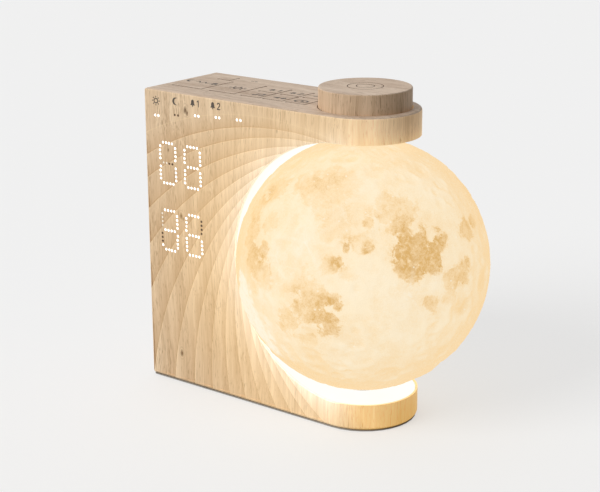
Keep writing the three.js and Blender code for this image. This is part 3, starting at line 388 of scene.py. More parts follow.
def drift(place, scale, detail):
    return level(place.tree, "ShaderNodeTexNoise", {"Vector": place, "Scale": scale, "Detail": detail}, "Color")


def linear(red, green, blue):
    """A colour from its three levels on screen, from 0 to 255."""
    shares = [value / 255 for value in (red, green, blue)]
    return (*(share / 12.92 if share <= 0.04045 else ((share + 0.055) / 1.055) ** 2.4 for share in shares), 1.0)


def grey(value):
    return (value, value, value, 1.0)


def material(name, even=None):
    """A material, its node tree and its shader, which gets the settings that are even all over."""
    made = bpy.data.materials.new(name)
    made.use_nodes = True
    tree = made.node_tree
    tree.nodes.clear()
    out = tree.nodes.new("ShaderNodeOutputMaterial")
    shader = tree.nodes.new("ShaderNodeBsdfPrincipled")
    tree.links.new(shader.outputs[0], out.inputs["Surface"])
    for key, value in (even or {}).items():
        shader.inputs[key].default_value = value
    return made, tree, shader


def object_place(tree):
    return level(tree, "ShaderNodeTexCoord", output="Object")


def raised(shader, height, strength, distance):
    bump = {"Height": height, "Strength": strength, "Distance": distance}
    feed(shader.inputs["Normal"], level(height.tree, "ShaderNodeBump", bump))


def group(name, takes, gives, colours=()):
    """A new node group, its inputs as levels and its output node. An input without a value is a place."""
    made = bpy.data.node_groups.new(name, "ShaderNodeTree")
    for socket, value in takes.items():
        kind = "NodeSocketVector" if value is None else "NodeSocketFloat"
        added = made.interface.new_socket(socket, in_out="INPUT", socket_type=kind)
        if value is not None:
            added.default_value = value
    for socket in (*gives, *colours):
        kind = "NodeSocketColor" if socket in colours else "NodeSocketFloat"
        made.interface.new_socket(socket, in_out="OUTPUT", socket_type=kind)
    start = made.nodes.new("NodeGroupInput")
    return made, {socket.name: Level(socket) for socket in start.outputs}, made.nodes.new("NodeGroupOutput")


def use(effect, tree, inputs):
    """A group placed in a material, as its outputs by name."""
    node = put(tree, "ShaderNodeGroup", inputs, node_tree=effect)
    return {socket.name: Level(socket) for socket in node.outputs}


def hand_out(gives, values):
    for socket, value in values.items():
        feed(gives.inputs[socket], value)


def oak_grain_group():
    """Oak figure that runs along Z: tone, dark pore lines and the height of the grain."""
    made, takes, gives = group("oak_grain", {"Place": None, "Waviness": 1.0}, ("Tone", "Pores", "Lines", "Height"))
    place = scaled(takes["Place"], IN_MM)
    for scale, reach in (((0.012, 0.012, 0.014), 9.0), ((0.07, 0.07, 0.035), 1.9)):
        centred = moved("SUBTRACT", drift(scaled(place, scale), 1.0, 2.0), (0.5, 0.5, 0.5))
        place = moved("ADD", place, moved("SCALE", centred, takes["Waviness"] * reach, "Scale"))
    broad, streak, fine, patches, lines, pores = [
        speckle(scaled(place, (thin, thin, long)), 1.0, detail, roughness) for thin, long, detail, roughness in (
            (0.13, 0.006, 3.0, 0.55), (0.62, 0.012, 4.0, 0.66), (2.4, 0.045, 2.0, 0.5),
            (0.09, 0.016, 1.0, 0.5), (0.95, 0.014, 2.0, 0.55), (2.0, 0.16, 1.0, 0.5),
        )
    ]
    lines = eased((lines - 0.5).worked("ABSOLUTE"), 0.035, 0.0) * eased(patches, 0.42, 0.62)
    pores = eased(pores + patches * 0.2, 0.72, 0.82)
    hand_out(gives, {
        "Tone": ranged(broad * 0.36 + streak * 0.44 + fine * 0.2, 0.36, 0.64),
        "Pores": pores, "Lines": lines, "Height": streak * 0.5 - pores * 0.8 - lines * 0.4,
    })
    return made


def knot_group():
    """A small knot: how dark a place is near the knot's middle, with a ring of curled grain."""
    made, takes, gives = group("knot", {"Place": None, "Middle": None, "Size": 1.0}, ("Dark",))
    away = scaled(moved("SUBTRACT", takes["Place"], takes["Middle"]), (1000, 1000, 560))
    away = moved("SUBTRACT", moved("ADD", away, drift(away, 0.9, 3.0)), (0.5, 0.5, 0.5))
    share = level(made, "ShaderNodeVectorMath", {0: away}, "Value", operation="LENGTH") / takes["Size"]
    curl = eased(share, 2.6, 1.2) * (share * 9.0).worked("SINE")
    hand_out(gives, {"Dark": eased(share, 1.0, 0.35).worked("ADD", curl * 0.22, clamp=True)})
    return made


def blade_bands(x, z):
    """Where a point lies from one blade's rim (0) to the next (1), whether it is carved, and the gap to the ring."""
    u, v = (x - OPENING[0]).worked("MINIMUM", 0.0), z - OPENING[1]
    away = (u * u + v * v).worked("SQRT")
    reach = (away * away + (BLADE_RING ** 2 - BLADE_RADIUS ** 2)) / (away * (2 * BLADE_RING))
    reach = reach.worked("MINIMUM", 1.0).worked("MAXIMUM", -1.0).worked("ARCCOSINE")
    turn = (v.worked("ARCTAN2", u).worked("WRAP", 2 * math.pi, 0.0) + reach).worked("DEGREES") - FIRST_BLADE
    close = (turn / CLOSE_TURN).worked("MINIMUM", CLOSE_BLADES)
    step = BLADE_TURN - TURN_GROWTH / 2
    rest = (turn - CLOSE_BLADES * CLOSE_TURN) * (2 * TURN_GROWTH) + step ** 2
    rest = (rest.worked("MAXIMUM", 0.0).worked("SQRT") - step) / TURN_GROWTH
    order = close + rest.worked("MAXIMUM", 0.0)
    carved = order.worked("GREATER_THAN", 0.0) * order.worked("LESS_THAN", BLADES - 1.0) * x.worked("LESS_THAN", 0.0)
    return order.worked("FRACT"), carved, (away - OPENING_RADIUS).worked("MAXIMUM", 0.0)


def ring_light_group():
    """Painted light from the lit ring on oak: a glow that the oak gives off and warm tints in its colour, and on each
    blade painted shade towards the next rim, a painted highlight on its crest and a painted shadow line at its foot.
    Bands is 1 on the carved front and 0 elsewhere.
    """
    made, takes, gives = group(
        "ring_light", {"Place": None, "Tone": 0.5, "Bands": 0.0}, ("Shade", "Crest Highlight", "Foot Shadow", "Gold Glow", "End"), ("Light",),
    )
    x, _, z = axes(scaled(takes["Place"], IN_MM))
    across, carved, gap = blade_bands(x, z)
    carved = carved * takes["Bands"]
    fall = eased(z, 90.0, 165.0, 1.0, 0.75)
    wide, close = [(gap / -length).worked("EXPONENT") * fall for length in (WIDE_GLOW, CLOSE_GLOW)]
    band_shade = across.worked("POWER", 1.2) * carved
    high = eased(z, 150.0, 176.0)
    arm = eased(x, -8.0, 20.0, 0.22, 1.45) * eased(x, 22.0, 35.0, 1.0, 0.3)
    share = high * arm + (1.0 - high) * eased(x, 5.0, 33.0, 1.0, 1.9)
    keep = (1.0 - band_shade * 0.42) * share * ranged(takes["Tone"], 0.0, 1.0, 0.8, 1.16)
    end_light = mixed(high, (0.42, 0.23, 0.03, 1), (0.41, 0.28, 0.15, 1))
    warm = mixed(wide * keep, grey(0), mixed(eased(x, 2.0, 24.0), (0.31, 0.16, 0.0, 1), end_light))
    near_glow = mixed(close * eased(x, -6.0, 20.0, 1.0, 0.06) * keep, grey(0), (0.08, 0.3, 0.48, 1))
    hand_out(gives, {
        # Painted shade across each blade, painted crest highlight, painted foot shadow, painted gold light near the
        # ring, painted warm darker tint on the rounded end, and the oak's painted glow
        "Shade": band_shade * ranged(wide, 0.0, 0.8, 0.5, 0.3),
        "Crest Highlight": eased(across, 0.07, 0.0) * carved * 0.22,
        "Foot Shadow": eased(across, 0.93, 1.0) * carved * 0.42,
        "Gold Glow": wide * eased(x, -4.0, 22.0, 0.4, 0.16),
        "End": eased(x, 26.0, 36.0, 0.0, 0.5),
        "Light": mixed(1.0, warm, near_glow, "ADD"),
    })
    return made


def moulded_grain_group():
    """Moulded or printed surface: a slow drift of tone and a fine texture."""
    made, takes, gives = group("moulded_grain", {"Place": None, "Scale": 1.0}, ("Tone", "Height"))
    place = moved("SCALE", takes["Place"], takes["Scale"] * 1000.0, "Scale")
    hand_out(gives, {
        "Tone": speckle(scaled(place, (0.05, 0.05, 0.05)), 1.0, 3.0, 0.6),
        "Height": speckle(scaled(place, (3.0, 3.0, 3.0)), 1.0, 2.0, 0.6),
    })
    return made


OAK_GRAIN = oak_grain_group()
KNOT = knot_group()
RING_LIGHT = ring_light_group()
MOULDED_GRAIN = moulded_grain_group()


# Finishes

PORE = linear(122, 92, 62)
BURNT = linear(84, 58, 38)
# Tints of the painted light and shade: blade shade, crest highlight, foot shadow, gold light near the ring, and the
# rounded end's warm, darker tint
TINTS = {
    "Shade": linear(186, 146, 102), "Crest Highlight": linear(255, 230, 180), "Foot Shadow": linear(140, 104, 66),
    "Gold Glow": linear(252, 208, 128), "End": linear(208, 152, 92),
}


def oak(name, light, dark, lengthwise=False, waviness=1.0, bands=None, knots=()):
    """Oak with upright grain, or grain along X. With bands given, the ring's light is painted on it: tints mixed into
    its colour and a glow that the oak gives off.
    """
    made, tree, shader = material(name, {"Specular IOR Level": 0.35})
    place = grain_place = object_place(tree)
    if lengthwise:
        x, y, z = axes(place)
        grain_place = level(tree, "ShaderNodeCombineXYZ", {0: y, 1: z, 2: x})
    grain = use(OAK_GRAIN, tree, {"Place": grain_place, "Waviness": waviness})
    colour = mixed(grain["Tone"], dark, light)
    colour = mixed(grain["Lines"] * 0.42, colour, PORE)
    colour = mixed(grain["Pores"] * 0.5, colour, PORE)
    for *middle, size in knots:
        knot = use(KNOT, tree, {"Place": place, "Middle": [v * MM for v in middle], "Size": size})
        colour = mixed(knot["Dark"] * 0.9, colour, BURNT)
    if bands is not None:
        # Painted light and shade from the ring, and the oak's painted glow
        rings = use(RING_LIGHT, tree, {"Place": place, "Tone": grain["Tone"], "Bands": bands})
        for mask, tint in TINTS.items():
            colour = mixed(rings[mask], colour, tint)
        feed(shader.inputs["Emission Color"], rings["Light"])
        shader.inputs["Emission Strength"].default_value = 1.0
    feed(shader.inputs["Base Color"], colour)
    feed(shader.inputs["Roughness"], ranged(grain["Tone"], 0.0, 1.0, 0.68, 0.56))
    raised(shader, grain["Height"], 0.22, 0.0003)
    return made


def plastic(name, colour, second, roughness=0.5, metallic=0.0, bump=0.08):
    made, tree, shader = material(name, {"Metallic": metallic})
    grain = use(MOULDED_GRAIN, tree, {"Place": object_place(tree), "Scale": 1.0})
    feed(shader.inputs["Base Color"], mixed(ranged(grain["Tone"], 0.3, 0.7), linear(*colour), linear(*second)))
    feed(shader.inputs["Roughness"], ranged(grain["Height"], 0.3, 0.7, roughness - 0.05, roughness + 0.06))
    raised(shader, grain["Height"], bump, 0.0002)
    return made


def glowing(name, colour, strength, base=0.3):
    """A lamp's milky face, whose own colour is the given share of its light's."""
    made, tree, shader = material(name, {"Emission Strength": strength, "Roughness": 0.5})
    grain = use(MOULDED_GRAIN, tree, {"Place": object_place(tree), "Scale": 1.0})
    warm = mixed(ranged(grain["Tone"], 0.3, 0.7), colour, (*(c * 0.96 for c in colour[:3]), 1.0))
    feed(shader.inputs["Emission Color"], warm)
    feed(shader.inputs["Base Color"], mixed(1.0 - base, warm, grey(0)))
    raised(shader, grain["Height"], 0.05, 0.0002)
    return made


def moon_finish():
    """Cream moon that glows from inside: tan plains with ragged shores, bright specks and rays, painted crater shading
    from the relief, and a painted warmer, darker limb.
    """
    made, tree, shader = material("moon", {"Emission Strength": 0.91, "Roughness": 0.75, "Specular IOR Level": 0.2})
    mare, shore, ray, relief = [
        level(tree, "ShaderNodeAttribute", output="Fac", attribute_name=name) for name in MOON_FIELDS
    ]
    place = scaled(object_place(tree), IN_MM)
    ragged = speckle(place, 0.11, 9.0, 0.72, 0.3)
    mottle = speckle(place, 0.34, 7.0, 0.66, 0.5)
    cloud = speckle(place, 0.035, 5.0, 0.6, 0.6)
    grit = speckle(place, 1.1, 4.0, 0.7)
    tone = mare * eased(shore + (ragged - 0.5) * 3.6, -0.12, 0.3, 0.12, 0.88) * ranged(mottle, 0.3, 0.7, 0.6, 1.35)
    haze = eased(cloud * 0.6 + ragged * 0.4, 0.38, 0.62) * 0.34
    tone = tone + haze * (1.0 - tone) + (grit - 0.5) * 0.6
    # Painted crater shading: rims lighter and bowls darker, by the relief's height.
    tone = tone.worked("SUBTRACT", relief * 0.2, clamp=True)
    colour = mixed(eased(tone, 0.0, 0.72), linear(255, 237, 204), linear(251, 220, 172))
    colour = mixed(eased(tone, 0.46, 1.2), colour, linear(216, 168, 90))
    cells = put(tree, "ShaderNodeTexVoronoi", {"Vector": place, "Scale": 0.2}).outputs
    chance = level(tree, "ShaderNodeSeparateColor", {0: Level(cells["Color"])})
    speck = eased(Level(cells["Distance"]), 0.15, 0.05) * chance.worked("GREATER_THAN", 0.55)
    speck = speck * ranged(tone, 0.0, 0.7, 0.2, 0.75)
    ray = ray.worked("MULTIPLY", ranged(mottle, 0.36, 0.6, 0.62, 1.12), clamp=True)
    colour = mixed((ray * 0.85).worked("ADD", speck, clamp=True), colour, linear(255, 246, 226))
    # Painted limb shade: warmer and darker where the surface turns away from the view, less on the rays.
    limb = level(tree, "ShaderNodeLayerWeight", {"Blend": 0.5}, "Facing")
    edge = eased(limb, 0.2, 0.85, 0.0, 0.8) * ranged(grit, 0.35, 0.65, 0.6, 1.05) * eased(ray, 0.15, 0.85, 1.0, 0.1)
    colour = mixed(edge, colour, linear(249, 211, 152))
    feed(shader.inputs["Base Color"], mixed(0.88, colour, grey(0)))
    feed(shader.inputs["Emission Color"], colour)
    raised(shader, mottle * 0.6 + grit * 0.4, 0.6, 0.0015)
    return made


FRONT_KNOTS = [
    (-105.6, -HALF, 170.1, 1.4), (-104.1, -HALF, 168.6, 1.0), (-111.1, -HALF, 105.8, 1.3), (-109.6, -HALF, 104.2, 0.8),
    (-113.5, -HALF, 19.0, 1.4), (-90.6, -HALF, -2.7, 0.6), (-120.0, -HALF, 144.5, 0.8),
]
END_KNOTS = [(30.0, -9.0, 166.5, 1.0), (31.0, -4.0, 163.0, 0.8), (32.0, 2.0, 168.0, 0.7)]
PALE_OAK = (linear(244, 218, 184), linear(204, 174, 140))
# The side, front and rim oak take the ring's painted glow and tints; the carved front also takes the painted shade
# across its blades.
OAK_SIDE = oak("oak_side", *PALE_OAK, bands=0.0, knots=END_KNOTS)
OAK_FRONT = oak("oak_front", *PALE_OAK, bands=1.0, knots=FRONT_KNOTS)
OAK_TOP = oak("oak_top", linear(216, 195, 173), linear(180, 155, 133), lengthwise=True, waviness=1.4)
OAK_KNOB = oak("oak_knob", linear(222, 192, 160), linear(184, 154, 122))
OAK_INSIDE = oak("oak_inside", linear(190, 160, 124), linear(170, 140, 106))
# The opening's rim wall: oak painted almost white, with the ring's glow, as painted light.
OAK_LIT = oak("oak_lit_edge", linear(255, 245, 222), linear(253, 238, 208), bands=0.0)
# Dark burnt oak for the laser-cut walls of the slits and dots; it also stands as painted shade in the knob's ring
# grooves and on the unlit dots.
SCORCHED_AND_SHADE = oak("oak_scorched_and_shade", linear(96, 68, 46), linear(66, 46, 32))
MOON = moon_finish()
DIFFUSER = glowing("diffuser", linear(250, 248, 246), 0.92, base=0.16)
LAMP = glowing("dot_lamp", linear(255, 253, 248), 2.0)
DIM_LAMP = glowing("dot_lamp_dim", linear(240, 228, 208), 0.85)
WHITE = plastic("white_plastic", (236, 234, 228), (226, 223, 216), 0.5)
BLACK = plastic("black_plastic", (34, 34, 36), (26, 26, 28), 0.55)
PAD = plastic("foot_pad", (158, 150, 140), (140, 133, 125), 0.85, bump=0.3)
BOARD = plastic("solder_mask", (38, 104, 70), (28, 86, 58), 0.45)
STEEL = plastic("zinc_steel", (196, 198, 200), (176, 178, 182), 0.34, metallic=1.0)
MAGNET = plastic("plated_magnet", (140, 144, 150), (122, 126, 132), 0.4, metallic=1.0)
BRASS = plastic("turned_brass", (206, 172, 104), (190, 156, 92), 0.35, metallic=1.0)
PAPER = plastic("cone_paper", (48, 46, 44), (38, 37, 36), 0.9, bump=0.5)
RIBBON = plastic("flat_cable", (216, 215, 208), (200, 198, 190), 0.6)
INK = plastic("print_ink", (74, 66, 58), (92, 82, 72), 0.7)


# Keys

# Right edge and width as shares of the row, front edge and depth as shares of the body's depth
KEY_SHARES = {
    "key_front_left": (0.3185, 0.1186, 0.2408, 0.2265), "key_rear_left": (0.3185, 0.1186, 0.4944, 0.2073),
    "key_front_middle": (0.1722, 0.1186, 0.2408, 0.2265), "key_rear_middle": (0.1722, 0.1186, 0.4944, 0.2073),
    "key_front_right": (0.0259, 0.1186, 0.2408, 0.2265), "key_rear_right": (0.0259, 0.1186, 0.4944, 0.2073),
    "key_mid": (0.4888, 0.1597, 0.2408, 0.4609), "key_wide": (0.7109, 0.1998, 0.2408, 0.4434),
    "key_corner": (0.7510, 0.0803, 0.7273, 0.1324),
}
ROW = -COUNTERBORE - LEFT


def free_triangle(right, width, front, depth):
    """A key's corners: the slit's left end, the free corner and the slit's rear end."""
    x, y = -COUNTERBORE - right * ROW, (2 * front - 1) * HALF
    return (x - width * ROW, y), (x, y), (x, y + depth * 2 * HALF)


KEYS = {name: free_triangle(*shares) for name, shares in KEY_SHARES.items()}


def moved_in(corners, distances):
    """A triangle with each side moved in by its own distance."""
    lines = []
    for i, (x0, y0) in enumerate(corners):
        x1, y1 = corners[(i + 1) % 3]
        length = math.hypot(x1 - x0, y1 - y0)
        nx, ny = -(y1 - y0) / length, (x1 - x0) / length
        lines.append((nx, ny, nx * x0 + ny * y0 + distances[i]))
    out = []
    for i, (a1, b1, c1) in enumerate(lines):
        a0, b0, c0 = lines[i - 1]
        det = a0 * b1 - a1 * b0
        out.append(((c0 * b1 - c1 * b0) / det, (a0 * c1 - a1 * c0) / det))
    return out


# Display dots

def digit_dots(centre):
    """Each dot's bar, its number in the bar and its place."""
    x, z = centre
    dots = []
    for i in range(4):
        along = (i - 1.5) * DOT_PITCH
        up = (i + 1) * DOT_PITCH
        for bar, steps in (("low", -5), ("middle", 0), ("high", 5)):
            dots.append((bar, i, (x + along, z + steps * DOT_PITCH)))
        for side, shift in (("left", -DIGIT_HALF_WIDTH), ("right", DIGIT_HALF_WIDTH)):
            dots.append(("upper_" + side, i, (x + shift, z + up)))
            dots.append(("lower_" + side, i, (x + shift, z - up)))
    return dots


def indicator_places():
    """Middles of the pairs of dots, on a wide arch."""
    places = []
    for i in range(5):
        along = (FIRST_INDICATOR + i * INDICATOR_STEP) * PANEL_WIDTH
        fall = ARCH_RADIUS - math.sqrt(ARCH_RADIUS ** 2 - (along - ARCH_MIDDLE * PANEL_WIDTH) ** 2)
        places.append((LEFT + along, ARCH_TOP - fall))
    return places


def lamp_state(digit, bar, order):
    """Lit, dim or dark, as the dots show in the two rows."""
    if digit == 0 and bar == "middle":
        return "dim" if order < 2 else "dark"
    if digit == 2 and bar == "upper_left":
        return "dim"
    if digit == 2 and bar == "lower_left":
        return "dark" if order < 3 else "lit"
    if digit == 3 and bar == "upper_right":
        return "dark"
    return "lit"


def sorted_dots():
    dots = {"lit": [], "dim": [], "dark": []}
    for digit, centre in enumerate(DIGIT_CENTRES):
        for bar, order, place in digit_dots(centre):
            dots[lamp_state(digit, bar, order)].append(place)
    for i, (x, z) in enumerate(indicator_places()):
        dots["dark" if i == 1 else "lit"] += [(x - HALF_PAIR, z), (x + HALF_PAIR, z)]
    return dots


DOTS_BY_STATE = sorted_dots()
ALL_DOTS = DOTS_BY_STATE["lit"] + DOTS_BY_STATE["dim"] + DOTS_BY_STATE["dark"]
DOTS = np.array(ALL_DOTS)


# Housing

def rounded_body():
    turns = [math.radians(turn) for turn in range(0, 91, 15)]
    rings = [(EDGE_ROUND * (1 - math.sin(t)), UNDERSIDE + EDGE_ROUND * (1 - math.cos(t))) for t in turns]
    rings += [(EDGE_ROUND * (1 - math.cos(t)), TOP - EDGE_ROUND * (1 - math.sin(t))) for t in turns]
    return loft([[(x, y, z) for x, y in body_plan(inset)] for inset, z in rings])


def side_view():
    r = SHOULDER_ROUND
    flat = [(LEFT, 0.0), (BEYOND, 0.0), (BEYOND, TOP + OVER), (LEFT + r, TOP + OVER)]
    return flat + arc(LEFT + r, TOP - r, r, 90, 180, 10)


def opening_cutter():
    """The opening, with its front and rear edges eased."""
    flare = OPENING_RADIUS + OPENING_EASE + OVER
    rear = [(HALF + OVER, flare), (HALF - OPENING_EASE, OPENING_RADIUS)]
    front = [(-y, radius) for y, radius in reversed(rear)]
    return loft([[(u, y, v) for u, v in opening_outline(radius)] for y, radius in rear + front])


def diffuser_seat():
    """What is cut off round the opening for the ring diffuser, between the thin rims."""
    wide = opening_outline(OPENING_RADIUS + DIFFUSER_WALL + SEAT)
    seat = workpiece("seat", through(wide, -HALF - OVER, HALF + OVER))
    return overlap(seat, upright(body_plan(RIM_WALL), 0, TOP))


def blade_centre(index):
    """Direction of a blade's centre from the opening's axis, and the centre."""
    wide = max(index - CLOSE_BLADES, 0)
    turn = FIRST_BLADE + min(index, CLOSE_BLADES) * CLOSE_TURN
    turn = math.radians(turn + wide * BLADE_TURN + TURN_GROWTH * wide * (wide - 1) / 2)
    return turn, (OPENING[0] + BLADE_RING * math.cos(turn), OPENING[1] + BLADE_RING * math.sin(turn))


def blade_half(index, sides=256):
    """A blade's disc, cut down to the half whose rim sweeps in to the opening."""
    turn, (x, z) = blade_centre(index)
    valley = BLADE_DEPTH / BLADE_SLOPE
    back = -HALF + BLADE_DEPTH + OVER
    profile = [
        (0.0, back), (BLADE_RADIUS, back), (BLADE_RADIUS, -HALF + RIM_EASE), (BLADE_RADIUS - RIM_EASE, -HALF),
        (BLADE_RADIUS - valley, -HALF + BLADE_DEPTH), (0.0, -HALF + BLADE_DEPTH),
    ]
    disc = workpiece("blade", turned(profile, sides, (x, z), "Y"))
    u, v = math.cos(turn) * (BLADE_RADIUS + OVER), math.sin(turn) * (BLADE_RADIUS + OVER)
    side = [(x - u, z - v), (x + u, z + v), (x + u + v, z + v - u), (x - u + v, z - v - u)]
    return overlap(disc, through(side, -HALF - OVER, HALF))


def blade_field():
    """What is carved off the front: the blades' hollows, inside a plain border."""
    left, low, high = LEFT + BLADE_MARGIN, UNDERSIDE + BLADE_MARGIN, TOP - BLADE_MARGIN
    field = workpiece("field", block(left, 0, -HALF - OVER, -HALF + BLADE_DEPTH, low, high))
    _, first = blade_centre(0)
    overlap(field, through(circle(*first, BLADE_RADIUS - BLADE_LAND, 256), -HALF - 2 * OVER, HALF))
    _, last = blade_centre(BLADES - 1)
    plain = workpiece("plain", through(circle(*last, BLADE_RADIUS, 256), -HALF - 2 * OVER, HALF))
    overlap(plain, block(LEFT, HALF, -HALF - 2 * OVER, HALF, 0, OPENING[1] - OPENING_RADIUS / 2))
    cut(field, plain)
    for i in range(BLADES):
        cut(field, blade_half(i))
    return field


def slit_ends(corners, radius):
    """Round holes at the two ends of a key's slits."""
    return [upright(circle(x, y, radius, 20), CEILING - OVER, TOP + OVER) for x, y in (corners[0], corners[2])]


def key_pockets():
    pockets = []
    for corners in KEYS.values():
        outline = ((CEILING - OVER, 0.0), (TOP - GROOVE, 0.0), (TOP, -GROOVE), (TOP + OVER, -GROOVE))
        pocket = workpiece("pocket", loft([
            [(x, y, z) for x, y in moved_in(corners, (out, out, 0.0))] for z, out in outline
        ]))
        pockets.append(join(pocket, *slit_ends(corners, SLIT_END)))
    return pockets


def in_slit(centre, normal):
    """Walls that the laser cut round a key."""
    if abs(normal.z) > FLAT or centre.z < CEILING - NEAR or abs(centre.y) > HALF - EDGE_LAND:
        return False
    return LEFT + EDGE_LAND < centre.x < 0 and math.hypot(centre.x, centre.y) > COUNTERBORE + OVER


def in_dot(centre, normal):
    """Walls of the drilled dots."""
    if abs(normal.y) > 0.5 or centre.y > -INSIDE:
        return False
    return np.min(np.hypot(DOTS[:, 0] - centre.x, DOTS[:, 1] - centre.z)) < LENS_RADIUS + NEAR


def housing_finish(centre, normal):
    """The finish of a face of the body, from where it lies and where it looks."""
    if in_slit(centre, normal) or in_dot(centre, normal):
        return SCORCHED_AND_SHADE
    if normal.y < -0.8 and centre.y < -HALF + BLADE_DEPTH + SEAT:
        return OAK_FRONT
    if normal.z > 0.6 and centre.z > CEILING:
        return OAK_TOP
    x, z = OPENING
    away = math.hypot(min(centre.x - x, 0), centre.z - z)
    if away < OPENING_RADIUS + 0.9 and abs(centre.y) < HALF - 0.02 and abs(normal.y) < 0.9:
        return OAK_LIT
    hollow = math.hypot(max(centre.x, 0.0), centre.y) < INSIDE + 0.1 and centre.x > LEFT + WALL - 0.1
    if hollow and FLOOR - 0.1 < centre.z < CEILING + 0.1 and away > OPENING_RADIUS + OVER:
        return OAK_INSIDE
    return OAK_SIDE


def make_housing():
    """The oak body: hollow and open behind, carved in front, slit round the keys and drilled for the dots."""
    body = workpiece("housing_oak", rounded_body())
    overlap(body, through(side_view(), -HALF - OVER, HALF + OVER))
    hollow = workpiece("hollow", upright(body_plan(WALL), FLOOR, CEILING))
    boss = workpiece("boss", upright(circle(0, 0, COUNTERBORE + WALL, 96), KNOB_FLOOR - WALL, CEILING + OVER))
    cut(hollow, boss)
    cut(body, opening_cutter(), hollow)
    cut(body, block(LEFT + WALL, COVER_END, INSIDE - OVER, HALF + OVER, FLOOR, CEILING))
    cut(body, diffuser_seat(), blade_field())
    cut(body, upright(circle(0, 0, COUNTERBORE, 128), KNOB_FLOOR, TOP + OVER))
    cut(body, upright(circle(0, 0, ENCODER_HOLE, 48), KNOB_FLOOR - WALL - OVER, TOP))
    cut(body, *key_pockets())
    before = -HALF - OVER
    cut(body, together([through(circle(x, z, DOT_RADIUS, 16), before, -INSIDE + OVER) for x, z in ALL_DOTS]))
    lens_seats = []
    for x, z in ALL_DOTS:
        radius = LENS_RADIUS if (x, z) in DOTS_BY_STATE["lit"] else UNLIT_RADIUS
        deep = -HALF + carved_depth(x, z) + LENS_DEPTH + NEAR
        lens_seats.append(turned([(0.0, before), (radius, before), (radius, deep), (0.0, deep)], 16, (x, z), "Y"))
    cut(body, together(lens_seats))
    cut(body, together([upright(circle(x, 0, SCREW_SINK, 24), 0, UNDERSIDE + PAD_SINK) for x in COLLAR_SCREWS]))
    finished(
        body, [OAK_SIDE, OAK_FRONT, OAK_TOP, OAK_INSIDE, SCORCHED_AND_SHADE, OAK_LIT], housing_finish,
        slot="oak", stands_for=("housing",),
    )


def make_rear_cover():
    """The cover in the body's back, with a speaker grille, seats for six screws and the inlet's slot."""
    left, right, low, high = LEFT + WALL + SEAT, COVER_END - SEAT, FLOOR + SEAT, CEILING - SEAT
    cover = workpiece("rear_cover_oak", through([(left, low), (right, low), (right, high), (left, high)], INSIDE, HALF))
    cut(cover, opening_cutter(), diffuser_seat())
    grille = [SPEAKER]
    for ring in (1, 2):
        grille += circle(*SPEAKER, GRILLE_PITCH * ring, 6 * ring)
    holes = [through(circle(x, z, GRILLE_HOLE, 24), INSIDE - OVER, HALF + OVER) for x, z in grille]
    holes += [through(circle(x, z, SCREW_SINK, 24), HALF - COVER_SINK, HALF + OVER) for x, z in COVER_SCREWS]
    cut(cover, together(holes))
    cut(cover, through(lying_slot(3.0, 1.95), INSIDE - OVER, HALF + OVER))
    finished(cover, [OAK_SIDE], slot="oak", stands_for=("rear_cover",))


def make_ring_diffuser():
    """The lit skin of the opening, which swells round the back of the moon."""
    radius = MOON_RADIUS + MOON_CLEARANCE
    outer = opening_outline(OPENING_RADIUS + DIFFUSER_WALL)
    lit = workpiece("ring_diffuser_lit", through(outer, -HALF - OVER, HALF + OVER))
    join(lit, ball(radius + DIFFUSER_WALL, MOON_CENTRE, 128, 64))
    hollow = workpiece("hollow", through(opening_outline(OPENING_RADIUS), -HALF - 2 * OVER, HALF + 2 * OVER))
    join(hollow, ball(radius, MOON_CENTRE, 128, 64))
    cut(lit, hollow)
    overlap(lit, upright(body_plan(RIM_WALL + SEAT), FLOOR, TOP))
    for collar, low in COLLAR_HOLES:
        cut(lit, upright(circle(MOON_CENTRE.x, 0, collar, 48), low, OPENING[1]))
    finished(lit, [DIFFUSER], slot="diffuser", stands_for=("ring_diffuser",), angle=50)


# Knob and keys

def knob_finish(centre, normal):
    away = math.hypot(centre.x, centre.y)
    in_ring = min(abs(away - radius) for radius in KNOB_RINGS) < 0.32
    # The ring grooves take the dark burnt oak finish as painted shade.
    if in_ring and KNOB_TOP - 0.4 < centre.z < KNOB_TOP - 0.01:
        return SCORCHED_AND_SHADE
    return OAK_TOP if normal.z > 0.6 else OAK_KNOB


def make_knob():
    """Turned knob: a shaft socket in a hub under the top, a thin skirt, and the two ring grooves on top, painted dark
    as shade.
    """
    top, bottom, edge = KNOB_TOP, KNOB_FLOOR + 1.5, 0.8
    bore, hub, skirt, under = 3.3, 5.8, KNOB_RADIUS - 2.4, top - 3
    roof, foot = KNOB_TOP - 3.2, KNOB_TOP - 9.5
    profile = [
        (0.0, roof), (bore, roof), (bore, foot), (hub, foot), (hub, under), (skirt, under),
        (skirt, bottom), (KNOB_RADIUS - 0.3, bottom), (KNOB_RADIUS, bottom + 0.3),
    ] + arc(KNOB_RADIUS - edge, top - edge, edge, 0, 90, 6)
    for radius in KNOB_RINGS:
        profile += [(radius + out, top - deep) for out, deep in ((0.25, 0), (0.2, 0.33), (-0.2, 0.33), (-0.25, 0))]
    profile.append((0.0, top))
    knob = workpiece("knob_oak", turned(profile, 144))
    finished(
        knob, [OAK_KNOB, OAK_TOP, SCORCHED_AND_SHADE], knob_finish, body="knob", slot="oak_top", stands_for=("knob",),
    )


